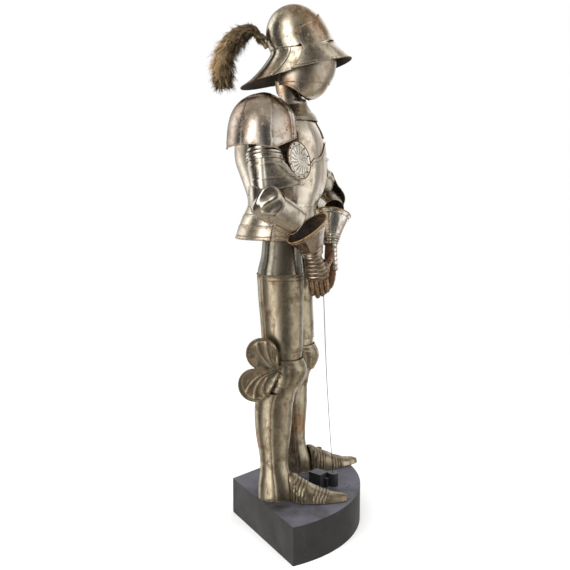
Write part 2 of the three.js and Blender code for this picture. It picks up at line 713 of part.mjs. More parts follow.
function buildArm(label, side, arm) {
  const name = (piece) => `${piece}_${label}`;
  const outside90 = 90 * side;
  const pauldron = (t, rib) => {
    const r = pauldronRibs(rib);
    const rise = Math.sin(radians(90 * Math.max(t, 0))) ** 0.8;
    const inset = 1 - Math.cos(radians(90 * t));
    const shift = mix(arm.pauldronShift, 0, inset);
    return vec(side * mix(r.footX, r.neckX, inset), mix(r.footY, r.neckY, inset) + shift, mix(r.footZ, r.neckZ, rise));
  };
  add(name('pauldron'), plate(lattice(pauldron, [0, 0.2, 0.42, 0.68, 0.96], range(0, 8, 12), { probe: 0.01, sense: -side }), {
    from: 0,
    to: 0.96,
    left: 0,
    right: 8,
  }), steel);

  // The cannons stop short of the elbow, by what the bend needs.
  const toShoulder = arm.shoulder.clone().sub(arm.elbow).normalize();
  const toWrist = arm.forearmEnd.clone().sub(arm.elbow).normalize();
  const bend = Math.PI - toShoulder.angleTo(toWrist);
  const inset = ELBOW_RADIUS * Math.tan(bend / 2) + 6;
  const upperLength = arm.shoulder.distanceTo(arm.elbow) - inset;
  const upperFrame = limbFrame(arm.shoulder, arm.elbow);
  const upper = lattice(
    (share, angle) => {
      const ring = upperArmRings(share);
      return limbPoint(upperFrame, share * upperLength, angle, { ...ring, front: mix(50, ring.front, arm.flare) });
    },
    [0.15, 0.26, 0.37, 0.5, 0.68, 0.85, 0.94, 1],
    range(-180, 360, 24),
    { probe: 0.002 },
  );
  const hoop = { left: outside90 - 150, right: outside90 + 150 };
  const turned = side < 0 ? { left: hoop.left + 360, right: hoop.right + 360 } : hoop;
  add(name('arm_lame_upper'), plate(upper, { from: 0.15, to: 0.38, ...wrap(hoop, turned) }), steel);
  add(name('arm_lame_lower'), plate(upper, { from: 0.36, to: 0.53, lift: STEP + 0.5, ...wrap(hoop, turned) }), steel);
  add(name('rerebrace'), plate(upper, {
    from: 0.5,
    to: (angle) => mix(0.94, 1, smooth(-Math.cos(radians(angle)), -1, 0)),
    columns: range(-180, 180, 16),
  }), steel);

  // Vambrace: tapered cannon from below the elbow towards the gauntlet cuff.
  const forearmFrame = limbFrame(arm.elbow, arm.forearmEnd);
  const forearmLength = arm.elbow.distanceTo(arm.forearmEnd);
  const vambrace = (distance, angle) => {
    const radius = mix(ELBOW_RADIUS, arm.forearmRadius, distance / forearmLength);
    return limbPoint(forearmFrame, distance, angle, { half: radius, front: radius, back: radius });
  };
  const elbowEnd = ELBOW_RADIUS * Math.tan(bend / 2) + 3;
  add(name('vambrace'), plate(lattice(vambrace, [elbowEnd, forearmLength], range(-180, 180, 14), { probe: 0.5 }), {
    from: elbowEnd,
    to: forearmLength,
  }), steel);

  // Couter: hugs both cannons where they meet, drawn out to a tip, with a wing on the outside.
  const tip = toShoulder.clone().add(toWrist).normalize().negate();
  const outside = toShoulder.clone().cross(toWrist).normalize().multiplyScalar(side);
  const across = tip.clone().cross(outside);
  const reach = (bend / 2 + Math.atan(inset / ELBOW_RADIUS)) * 180 / Math.PI + 6;
  const couterEdge = (azimuth) => {
    const toOutside = Math.cos(radians(azimuth));
    return reach + COUTER.wing * smooth(toOutside, 0.6, 1) + COUTER.inside * smooth(-toOutside, 0.6, 1);
  };
  const couter = (share, azimuth) => {
    const toOutside = Math.cos(radians(azimuth));
    const polar = couterEdge(azimuth) * share;
    const direction = tip.clone().multiplyScalar(Math.cos(radians(polar)))
      .addScaledVector(outside, Math.sin(radians(polar)) * toOutside)
      .addScaledVector(across, Math.sin(radians(polar)) * Math.sin(radians(azimuth)));
    const hug = Math.max(...[toShoulder, toWrist].map((axis) => (
      COUTER.inner / Math.sqrt(1 - Math.max(direction.dot(axis), 0) ** 2))));
    const point = COUTER.tip * Math.max(0, 1 - polar / 30) ** 2;
    const flare = COUTER.flare * smooth(share, 0.6, 1) * smooth(toOutside, 0.5, 1);
    return arm.elbow.clone().addScaledVector(direction, hug + point + flare);
  };
  add(name('couter'), plate(lattice(couter, [0, 0.3, 0.6, 0.82, 1], range(-180, 180, 14), { probe: 0.005, pole: tip }), {
    from: 0,
    to: 1,
  }), steel);

  // Besagew: a dished disc with a central boss, laced in front of the armpit.
  const up = vec(0, 0, 1).addScaledVector(arm.discNormal, -arm.discNormal.z).normalize();
  const level = arm.discNormal.clone().cross(up);
  const discProfile = table(['r', 'h'], [[0, BESAGEW.boss], [6, 12], [14, 7], [30, 3.5], [54, 2], [BESAGEW.radius, 5]]);
  const disc = (r, angle) => arm.disc.clone().addScaledVector(up, r * Math.cos(radians(angle)))
    .addScaledVector(level, r * Math.sin(radians(angle))).addScaledVector(arm.discNormal, discProfile(r).h);
  add(name('besagew'), plate(lattice(disc, [0, 9, 20, BESAGEW.radius], range(-180, 180, 16), { probe: 0.5, pole: arm.discNormal }), {
    from: 0,
    to: BESAGEW.radius,
  }), steel);

  // Gauntlet cuff: a bell from the wrist to a wide, slanting rim.
  const hand = limbFrame(arm.wrist, arm.knuckles, arm.thumbSide);
  const rimFrame = limbFrame(arm.rim, arm.rim.clone().sub(arm.rimNormal), arm.thumbSide);
  const cuff = (t, angle) => {
    const low = limbPoint(hand, 0, angle, arm.cuffFoot);
    const high = limbPoint(rimFrame, 0, angle, { half: arm.rimRadius, front: arm.rimRadius, back: arm.rimRadius });
    const middle = low.clone().add(high).multiplyScalar(0.5);
    const axis = arm.wrist.clone().add(arm.rim).multiplyScalar(0.5);
    return high.lerp(low, t).addScaledVector(axis.sub(middle).normalize(), 5 * Math.sin(Math.PI * t));
  };
  add(name('gauntlet_cuff'), plate(lattice(cuff, [0, 0.3, 0.65, 1], range(-180, 180, 16), { probe: 0.01 }), {
    from: 0,
    to: 1,
  }), steel);

  // Glove: a hollow leather palm, open at the wrist, with its fingers and thumb.
  const palmLength = arm.wrist.distanceTo(arm.knuckles);
  const palmRings = table(['t', 's', 'half', 'front', 'back'], [
    [0, -30, 17, 21, 21],
    [1, 0, 19, 26, 26],
    [2, palmLength / 2, 18, 34, 34],
    [3, palmLength, 15, 36, 36],
    [4, palmLength + 5, 0, 0, 0],
  ]);
  const palm = (t, angle) => limbPoint(hand, palmRings(t).s, angle, palmRings(t));
  const palmLattice = lattice(palm, [0, 1, 2, 2.85, 3.5, 4], range(-180, 360, 18), { probe: 0.01, pole: hand.along });
  let glove = toManifold(plate(palmLattice, { from: 0, to: 4, columns: range(-180, 180, 12), lift: -LEATHER, wall: LEATHER }));
  const digit = (root, direction, length, radius) => {
    const frame = limbFrame(root, root.clone().add(direction), arm.thumbSide);
    const rings = table(['s', 'r', 'curl'], [
      [-3, radius, 0],
      [length * 0.5, radius, 0],
      [length * 0.88, radius * 0.85, 3],
      [length, radius * 0.4, 5],
    ]);
    const form = (s, angle) => {
      const { r, curl } = rings(s);
      return limbPoint(frame, s, angle, { half: r, front: r, back: r }).addScaledVector(frame.side, -side * curl);
    };
    return toManifold(capped(form, [-3, length * 0.8, length], 6));
  };
  const fingers = limbFrame(arm.knuckles, arm.tips);
  GLOVE_FINGERS.forEach((length, k) => {
    const root = arm.knuckles.clone().addScaledVector(hand.front, FINGER_PITCH * (1.5 - k));
    glove = glove.add(digit(root, fingers.along, length, 8.7));
  });
  const thumbRoot = limbPoint(hand, 40, 0, { half: 0, front: 30, back: 0 }).addScaledVector(hand.side, -side * 10);
  const thumbWay = hand.along.clone().addScaledVector(hand.side, -side * 0.35).normalize();
  glove = glove.add(digit(thumbRoot, thumbWay, 62, 10));
  add(name('glove'), fromManifold(glove), leather);

  // Hand lames: the laminated steel back of the gauntlet, on the glove's own points.
  const back = { left: outside90 - 80, right: outside90 + 80 };
  add(name('hand_lames'), plate(palmLattice, { from: 1, to: 2.85, lift: 4 * GAP, ...back }), steel);
}

// A hoop's angles, kept inside the lattice's range.
function wrap(hoop, turned) {
  return hoop.left >= -180 ? hoop : turned;
}

buildArm('right', -1, {
  pauldronShift: 0,
  shoulder: vec(-226, 56, 1480),
  elbow: vec(-292, 33, 1237),
  flare: 1,
  forearmEnd: vec(-238, -66, 1168),
  forearmRadius: 45,
  thumbSide: vec(0, -1, 0),
  cuffFoot: { half: 27, front: 33, back: 33 },
  wrist: vec(-186, -112, 1054),
  rim: vec(-236, -96, 1150),
  rimNormal: vec(-0.31, 0.53, 0.79).normalize(),
  rimRadius: 79,
  knuckles: vec(-142, -128, 966),
  tips: vec(-95, -134, 872),
  disc: vec(-190, -60, 1379),
  discNormal: vec(-0.47, -0.863, 0.188).normalize(),
});
buildArm('left', 1, {
  pauldronShift: -50,
  shoulder: vec(208, 18, 1480),
  elbow: vec(286, -126, 1240),
  flare: 0.25,
  forearmEnd: vec(168, -162, 1200),
  forearmRadius: 38,
  thumbSide: vec(-0.85, -0.53, 0),
  cuffFoot: { half: 24, front: 31, back: 31 },
  wrist: vec(78, -156, 1070),
  rim: vec(135, -160, 1184),
  rimNormal: vec(0.42, -0.1, 0.9).normalize(),
  rimRadius: 68,
  knuckles: vec(56, -157, 966),
  tips: vec(38, -143, 872),
  disc: vec(144, -124, 1390),
  discNormal: vec(0.08, -0.985, 0.13).normalize(),
});

export default suit;
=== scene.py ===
import json
import math

import bmesh
import bpy
import numpy as np
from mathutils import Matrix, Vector

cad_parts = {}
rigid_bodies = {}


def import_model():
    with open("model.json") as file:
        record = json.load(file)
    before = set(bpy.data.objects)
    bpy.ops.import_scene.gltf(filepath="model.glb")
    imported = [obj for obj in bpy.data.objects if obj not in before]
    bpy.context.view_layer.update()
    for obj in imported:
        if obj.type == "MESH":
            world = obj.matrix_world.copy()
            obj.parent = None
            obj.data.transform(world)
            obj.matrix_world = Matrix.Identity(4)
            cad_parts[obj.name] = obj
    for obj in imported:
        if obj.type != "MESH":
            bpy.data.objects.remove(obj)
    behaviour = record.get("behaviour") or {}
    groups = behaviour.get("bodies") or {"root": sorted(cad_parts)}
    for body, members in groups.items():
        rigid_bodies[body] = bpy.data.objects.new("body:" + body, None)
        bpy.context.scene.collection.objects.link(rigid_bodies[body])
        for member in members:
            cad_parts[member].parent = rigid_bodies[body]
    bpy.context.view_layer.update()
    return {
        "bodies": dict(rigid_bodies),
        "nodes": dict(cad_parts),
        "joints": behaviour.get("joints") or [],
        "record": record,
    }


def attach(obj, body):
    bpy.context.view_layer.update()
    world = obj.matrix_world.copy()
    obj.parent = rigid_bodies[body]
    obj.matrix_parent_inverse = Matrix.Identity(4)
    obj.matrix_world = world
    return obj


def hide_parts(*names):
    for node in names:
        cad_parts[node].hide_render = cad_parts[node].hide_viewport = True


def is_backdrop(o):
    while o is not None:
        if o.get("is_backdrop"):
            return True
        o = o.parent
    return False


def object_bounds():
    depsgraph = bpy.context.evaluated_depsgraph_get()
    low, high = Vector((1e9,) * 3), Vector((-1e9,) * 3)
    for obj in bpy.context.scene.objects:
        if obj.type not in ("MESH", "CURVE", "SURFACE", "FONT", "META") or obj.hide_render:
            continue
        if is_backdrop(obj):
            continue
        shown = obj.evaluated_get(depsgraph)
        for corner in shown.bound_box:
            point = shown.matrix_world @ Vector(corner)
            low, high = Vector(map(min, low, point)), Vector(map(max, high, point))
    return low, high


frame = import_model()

# Plinth: a low sector-shaped box of board, glued, filled and sprayed with matt dark grey paint.
# Its edges are eased by hand with sandpaper, and the top has picked up scuffs and dust.


class Paintbox:
    """The node tree of one material, or of the world: it makes nodes, and colours from masks."""

    def __init__(self, name, kind="materials", shader="Principled BSDF"):
        self.material = getattr(bpy.data, kind).new(name)
        self.material.use_nodes = True
        self.tree = self.material.node_tree
        self.shader = self.tree.nodes[shader]

    def node(self, kind, output=0, settings=None, **sockets):
        made = self.tree.nodes.new("ShaderNode" + kind)
        for key, value in (settings or {}).items():
            if key == "stops":
                ramp = made.color_ramp.elements
                while len(ramp) < len(value):
                    ramp.new(0.5)
                for stop, (place, shade) in zip(ramp, value):
                    stop.position = place
                    stop.color = (shade, shade, shade, 1)
            else:
                setattr(made, key, value)
        for key, value in sockets.items():
            self.feed(made.inputs[int(key[1:]) if key[1:].isdigit() else key.replace("_", " ")], value)
        return Mask(self, made.outputs[output])

    def feed(self, socket, value):
        if isinstance(value, Mask):
            self.tree.links.new(value.socket, socket)
        elif isinstance(value, tuple) and len(value) == 3 and socket.type == "RGBA":
            socket.default_value = (*value, 1)
        else:
            socket.default_value = value

    def place(self):
        return self.node("TexCoord", "Object")

    def noise(self, scale, detail=3, roughness=0.55, where=None, seed=0.0, stretch=None):
        where = where or self.place()
        if stretch or seed:
            shift = (seed, 2.3 * seed, -1.7 * seed)
            where = self.node("Mapping", Vector=where, Location=shift, Scale=stretch or (1, 1, 1))
        return self.node("TexNoise", Vector=where, Scale=scale, Detail=detail, Roughness=roughness)

    def between(self, mask, low, high):
        soft = {"interpolation_type": "SMOOTHSTEP"}
        return self.node("MapRange", settings=soft, Value=mask, From_Min=low, From_Max=high)

    def near(self, place, reach):
        """Mask round a place on the suit, both in millimetres."""
        centre = tuple(value / 1000 for value in place)
        far = self.node("VectorMath", 1, {"operation": "DISTANCE"}, _0=self.place(), _1=centre)
        return 1 - self.between(far, reach / 2500, reach / 1000)

    def tint(self, mask, under, over):
        """Colour over laid on colour under where the mask is 1."""
        return self.node("Mix", 2, {"data_type": "RGBA", "clamp_factor": True}, _0=mask, _6=under, _7=over)

    def facing_up(self):
        """Mask of the surfaces that lie level and catch dust."""
        upward = self.node("SeparateXYZ", "Z", Vector=self.node("NewGeometry", "Normal"))
        return self.between(upward, 0.5, 0.9)

    def finish(self, **sockets):
        for key, value in sockets.items():
            self.feed(self.shader.inputs[key.replace("_", " ")], value)
        return self.material

    def bump(self, height, distance, strength=1.0, under=None):
        made = self.node("Bump", Height=height, Distance=distance, Strength=strength)
        if under:
            self.feed(made.socket.node.inputs["Normal"], under)
        return made


class Mask:
    """One socket's value. Sums and products of masks become Math nodes."""

    def __init__(self, box, socket):
        self.box, self.socket = box, socket

    def maths(self, operation, first, second=0.0):
        return self.box.node("Math", settings={"operation": operation}, _0=first, _1=second)

    def __add__(self, other):
        return self.maths("ADD", self, other)

    def __sub__(self, other):
        return self.maths("SUBTRACT", self, other)

    def __rsub__(self, other):
        return self.maths("SUBTRACT", other, self)

    def __mul__(self, other):
        return self.maths("MULTIPLY", self, other)

    def __pow__(self, other):
        return self.maths("POWER", self, other)

    def most(self, other):
        return self.maths("MAXIMUM", self, other)

    __radd__, __rmul__ = __add__, __mul__


def coat(node, material, eased=0):
    """Paints a solid of the stand, and eases its edges as filler and paint leave them."""
    solid = frame["nodes"][node]
    solid.data.materials.clear()
    solid.data.materials.append(material)
    if eased:
        bevel = solid.modifiers.new("eased", "BEVEL")
        bevel.width, bevel.segments = eased, 3
        bevel.limit_method, bevel.angle_limit = "ANGLE", math.radians(30)
        bevel.harden_normals = False


box = Paintbox("matt_plinth_paint")
scuff = box.between(box.noise(9, 6, 0.7), 0.48, 0.72)
dust = box.between(box.noise(2.2, 3, seed=4.0), 0.42, 0.7)
speck = box.between(box.noise(260, 2), 0.66, 0.74)
paint_shade = box.tint(scuff * 0.55, (0.009, 0.0085, 0.0075), (0.03, 0.028, 0.024))
paint_shade = box.tint(dust * 0.4, paint_shade, (0.045, 0.041, 0.043))
paint_shade = box.tint(speck * 0.5, paint_shade, (0.13, 0.12, 0.11))
settled = box.facing_up() * box.between(box.noise(5, 5, 0.6), 0.3, 0.62) * 0.72
plinth_paint = box.finish(
    Base_Color=box.tint(settled, paint_shade, (0.125, 0.12, 0.15)),
    Roughness=box.noise(14, 4) * 0.25 + 0.5,
    Normal=box.bump(box.noise(420, 3), 0.0004, 0.5),
)
coat("plinth", plinth_paint, eased=0.0016)

# Sword socket: a short length of square steel bar with a drilled round lug welded in front,
# painted black. The paint has rubbed thin along the edges of both.
box = Paintbox("black_socket_paint")
rubbed = box.between(box.noise(60, 5, 0.7), 0.56, 0.7)
black_coat = box.tint(rubbed * 0.5, (0.008, 0.008, 0.009), (0.05, 0.048, 0.047))
socket_paint = box.finish(
    Base_Color=box.tint(box.facing_up() * 0.6, black_coat, (0.105, 0.1, 0.112)),
    Roughness=box.noise(30, 4) * 0.3 + 0.36,
    Normal=box.bump(box.noise(300, 3), 0.0004, 0.5),
)
coat("sword_socket", socket_paint, eased=0.0014)

# Screw holes: four flat black discs with rounded edges on the plinth's top, over the screws that hold
# its frame, in front of the right foot. Their black is painted shade, for the dark of the holes.
HOLE_SHADE_RADIUS, HOLE_SHADE_DEPTH, HOLE_SHADE_HEIGHT = 0.0042, 0.001, 0.1406
for number, (x, y) in enumerate([(0.03, -0.224), (0.017, -0.24), (-0.001, -0.234), (-0.027, -0.231)], 1):
    bpy.ops.mesh.primitive_cylinder_add(
        vertices=24, radius=HOLE_SHADE_RADIUS, depth=HOLE_SHADE_DEPTH, location=(x, y, HOLE_SHADE_HEIGHT)
    )
    hole_shade_disc = bpy.context.object
    hole_shade_disc.name = f"plinth_screw_hole_shade_{number}"
    bevel = hole_shade_disc.modifiers.new("rounded", "BEVEL")
    bevel.width, bevel.segments = 0.0005, 2
    hole_shade_disc.data.materials.append(socket_paint)
    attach(hole_shade_disc, "armour")

# Stay wire: drawn steel wire, dull and dark with handling, let into the lug and led up between
# the hands. It is pulled almost straight.
box = Paintbox("drawn_wire")
wire_steel = box.finish(
    Base_Color=box.tint(box.between(box.noise(40, 3), 0.4, 0.7), (0.03, 0.027, 0.024),
                        (0.07, 0.062, 0.052)),
    Metallic=1.0,
    Roughness=0.42,
)
coat("stay_wire", wire_steel)

# Inside of the plates: the smith leaves it rough and black from the forge, never polished, and
# rust creeps over the scale in patches. One finish serves every plate.
box = Paintbox("unpolished_inside")
scale_patch = box.between(box.noise(24, 5, 0.7), 0.42, 0.66)
unpolished_inside = box.finish(
    Base_Color=box.tint(scale_patch, (0.045, 0.037, 0.031), (0.1, 0.055, 0.03)),
    Metallic=0.5 - scale_patch * 0.3,
    Roughness=box.noise(40, 3) * 0.2 + 0.6,
    Normal=box.bump(box.noise(180, 3), 0.0006, 0.4),
)

# Sabatons: each foot is a row of thin steel lames, hammered over a stake and riveted to slide on
# each other, with a pointed toe cap. All the leg plates have aged to a yellow-brown steel.


def curve(columns, *rows):
    """Smooth curve through a table's rows. The first column of each row is the station."""
    rows = sorted(rows)
    stations = np.array([row[0] for row in rows], float)
    values = np.array([row[1:] for row in rows], float)
    low = np.maximum(np.arange(len(rows)) - 1, 0)
    high = np.minimum(np.arange(len(rows)) + 1, len(rows) - 1)
    slopes = (values[high] - values[low]) / (stations[high] - stations[low])[:, None]

    def at(station):
        station = np.asarray(station, float)
        i = np.clip(np.searchsorted(stations, station, side="right") - 1, 0, len(rows) - 2)
        width = stations[i + 1] - stations[i]
        t = np.clip((station - stations[i]) / width, 0, 1)[..., None]
        width = width[..., None]
        found = (
            (2 * t**3 - 3 * t**2 + 1) * values[i]
            + (t**3 - 2 * t**2 + t) * slopes[i] * width
            + (3 * t**2 - 2 * t**3) * values[i + 1]
            + (t**3 - t**2) * slopes[i + 1] * width
        )
        return dict(zip(columns.split(), np.moveaxis(found, -1, 0)))

    return at


def oval(angle, power):
    """Side and front share of a superellipse. Angle 0 is the front and +90 the suit's left."""
    s, c = np.sin(np.radians(angle)), np.cos(np.radians(angle))
    return np.sign(s) * np.abs(s) ** (2 / power), np.sign(c) * np.abs(c) ** (2 / power)


def mix(a, b, t):
    return a + (b - a) * t


def smooth(value, low, high):
    t = np.clip((np.asarray(value, float) - low) / (high - low), 0, 1)
    return t * t * (3 - 2 * t)


def hump(value, middle, width, height):
    """A soft ridge, or a trough where the height is negative."""
    return height * np.exp(-(((value - middle) / width) ** 2))


def turned(angle):
    """An angle brought between -180 and 180 degrees."""
    return (angle + 180) % 360 - 180


def folded(angle):
    """How far an angle is from the front, on either side."""
    return np.abs(turned(angle))


def hooped(rings, power, keel=lambda s, angle: 0):
    """A form of upright oval rings, with a keel raised down its front."""
    def form(s, angle):
        r = rings(s)
        across, front = oval(angle, power)
        return points(r["half"] * across, mix(r["back"], r["front"] - keel(s, angle), (front + 1) / 2),
                      r.get("z", s))

    return form


def points(x, y, z):
    return np.stack(np.broadcast_arrays(x, y, z), -1).astype(float)


def spaced(length, count, near, far):
    """Distances along a length, crowded at both ends where an edge is turned."""
    def crowd(bead):
        steps = np.array([0, 0.13, 0.5, 1, 1.5, 1.87, 2, 2.5]) * bead if bead else np.array([0, 0.5, 1.6])
        return steps * min(1, 0.3 * length / steps[-1])

    first, last = crowd(near), crowd(far)
    middle = np.linspace(first[-1], length - last[-1], count)[1:-1]
    return np.concatenate([first, middle, (length - last)[::-1]])


def across_length(s, a, form, axis, count, near, far):
    """Moves a grid's lines along one axis so that they are spaced by true length."""
    place = form(s, a)
    steps = np.linalg.norm(np.diff(place, axis=axis), axis=-1)
    run = np.concatenate([np.zeros_like(np.take(steps, [0], axis)), np.cumsum(steps, axis)], axis)
    if axis == 1:
        s, a, run = s.T, a.T, run.T
    columns = []
    for j in range(run.shape[1]):
        wanted = spaced(run[-1, j], count, near, far)
        columns.append([np.interp(wanted, run[:, j], s[:, j]), np.interp(wanted, run[:, j], a[:, j]),
                        wanted,
                        run[-1, j] - wanted])
    found = [np.array([column[k] for column in columns]).T for k in range(4)]
    return [grid.T for grid in found] if axis == 1 else found


def softened(height, ring):
    """A grid of heights blurred a little: lower than the metal on a ridge, higher in a trough."""
    for _ in range(5):
        for axis in (0, 1):
            margin = [(1, 1) if k == axis else (0, 0) for k in (0, 1)]
            wide = np.pad(height, margin, "wrap" if ring and axis else "edge")
            height = (np.take(wide, range(0, height.shape[axis]), axis)
                      + np.take(wide, range(2, height.shape[axis] + 2), axis)
                      + 2 * height) / 4
    return height


def value_at(edge, x):
    return edge(x) if callable(edge) else np.full_like(x, edge, dtype=float)


def wall_mesh(outer, inner, ring, metal):
    """Vertices and quads of a closed wall between two grids of points, where there is metal."""
    under = outer.shape[0] * outer.shape[1]
    index = np.arange(under).reshape(outer.shape[:2])
    if ring:
        index = np.concatenate([index, index[:, :1]], 1)
    a, b, c, d = index[:-1, :-1], index[1:, :-1], index[1:, 1:], index[:-1, 1:]
    faces = [np.stack([a, b, c, d], -1)[metal], np.stack([d, c, b, a], -1)[metal] + under]
    padded = np.pad(metal, 1)
    if ring:
        padded[:, 0], padded[:, -1] = padded[:, -2], padded[:, 1]
    for (p, q), beside in (
        ((d, a), padded[:-2, 1:-1]),
        ((b, c), padded[2:, 1:-1]),
        ((a, b), padded[1:-1, :-2]),
        ((c, d), padded[1:-1, 2:]),
    ):
        rim = metal & ~beside
        faces.append(np.stack([q, p, p + under, q + under], -1)[rim])
    return np.concatenate([outer.reshape(-1, 3), inner.reshape(-1, 3)]), np.concatenate(faces)


FINENESS = 0.58  # Share of each plate's stated rows and columns that its mesh is given.


def forge(name, form, s, a=None, lift=0.0, wall=1.8, beads=(0, 0, 0, 0), rows=30, columns=44, relief=None,
          sense=1, body="armour", steel=None, slot="steel", nodes=None, hole=None):
    """One hammered plate on a form, between the stations s and the angles a (all round if a is None).
    beads are the turned edges' radii: first, last, left, right. relief raises the metal."""
    ring = a is None
    rows, columns = max(8, round(FINENESS * rows)), max(12, round(FINENESS * columns))
    u, v = np.linspace(0, 1, 3 * rows)[:, None], np.linspace(0, 1, 3 * columns)[None, :]
    left, right = (-180, 180) if ring else a
    angle = np.broadcast_to(mix(-90.0 if callable(left) else left, 90.0 if callable(right) else right, v),
                            (3 * rows, 3 * columns))
    for _ in range(3):
        station = mix(value_at(s[0], angle), value_at(s[1], angle), u)
        angle = mix(value_at(left, station), value_at(right, station), v)
    station, angle, near, far = across_length(station, angle, form, 0, rows, beads[0], beads[1])
    if ring:
        keep = np.linspace(0, angle.shape[1] - 1, columns + 1).round().astype(int)[:-1]
        station, angle, near, far = (grid[:, keep] for grid in (station, angle, near, far))
        edge = [near, far, np.full_like(near, 1e3), np.full_like(near, 1e3)]
    else:
        place_rows = np.linspace(0, 1, angle.shape[1])
        station, angle, before, after = across_length(station, angle, form, 1, columns, beads[2], beads[3])
        share = before / np.maximum(before + after, 1e-6)
        near, far = (np.array([np.interp(*row) for row in zip(share, [place_rows] * len(share), grid)])
                     for grid in (near, far))
        edge = [near, far, before, after]
    base = form(station, angle)
    across = np.roll(base, -1, 1) - np.roll(base, 1, 1) if ring else np.gradient(base, axis=1)
    normal = np.cross(np.gradient(base, axis=0), across) * sense
    length = np.linalg.norm(normal, axis=-1, keepdims=True)
    flat = length[..., 0] < 1e-7
    normal = normal / np.maximum(length, 1e-9)
    if flat.any():
        normal[flat] = 0
        for i in np.unique(np.nonzero(flat)[0]):
            other = min(i + 1, len(normal) - 1) if i == 0 else i - 1
            mean = normal[other].mean(0)
            normal[i] = mean / max(np.linalg.norm(mean), 1e-9)
    raised = lift + (relief(station, angle) if relief else 0)
    inner = base + normal * np.asarray(raised)[..., None]
    bead = np.zeros(edge[0].shape)
    for distance, radius in zip(edge, beads):
        if radius:
            bead = np.maximum(bead, radius
                              * np.sqrt(np.clip(1 - ((distance - radius) / radius) ** 2, 0, 1)))
    outer = inner + normal * (wall + bead)[..., None]
    proud = np.broadcast_to(raised, bead.shape) + bead
    # How deep each point lies in a hollow: there the steel is darkened, partly as grime, partly as painted
    # shade.
    grime = (np.clip((softened(proud, ring) - proud) * 2.2, 0, 1)
             if relief or any(beads) else np.zeros(bead.shape))
    metal = np.ones((len(outer) - 1, outer.shape[1] - (0 if ring else 1)), bool)
    if hole:
        gap = hole(station, angle)
        metal = ~(gap[:-1, :-1] & gap[1:, 1:])
    vertices, faces = wall_mesh(outer, inner, ring, metal)
    nearest = np.minimum.reduce(edge)
    return piece(name, vertices, faces, body, steel, nodes, rim=np.tile(nearest.ravel(), 2),
                 grime=np.tile(grime.ravel(), 2), inside=metal.sum() if slot == "steel" else 0)


def piece(name, vertices, faces, body, material, nodes=None, rim=None, grime=None,
          crisp=38, inside=0):
    """A mesh from points in millimetres, riding on its body and standing for its CAD node.
    rim and the hollow depth are values for its points; the hollow depth darkens steel partly as grime and
    partly as painted shade. inside counts the outer faces, then the inner ones."""
    mesh = bpy.data.meshes.new(name)
    mesh.from_pydata((np.asarray(vertices) / 1000).tolist(), [], [tuple(map(int, face)) for face in faces])
    for label, values in (("rim", rim), ("grime", grime)):
        if values is not None:
            layer = mesh.attributes.new(label, "FLOAT", "POINT")
            layer.data.foreach_set("value", np.asarray(values, np.float32))
    mesh.validate()
    made = bpy.data.objects.new(name, mesh)
    bpy.context.scene.collection.objects.link(made)
    if inside:
        side = np.zeros(len(mesh.polygons), np.int32)
        side[inside:2 * inside] = 1
        mesh.polygons.foreach_set("material_index", side)
    tidy(mesh)
    mesh.shade_smooth()
    mesh.set_sharp_from_angle(angle=math.radians(crisp))
    mesh.materials.append(material)
    if inside:
        mesh.materials.append(unpolished_inside)
    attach(made, body)
    if nodes:
        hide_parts(nodes)
    return made


def tidy(mesh):
    """Joins the points that meet at a form's tip and turns every face outwards."""
    work = bmesh.new()
    work.from_mesh(mesh)
    bmesh.ops.remove_doubles(work, verts=work.verts, dist=2e-6)
    bmesh.ops.recalc_face_normals(work, faces=work.faces)
    work.to_mesh(mesh)
    work.free()


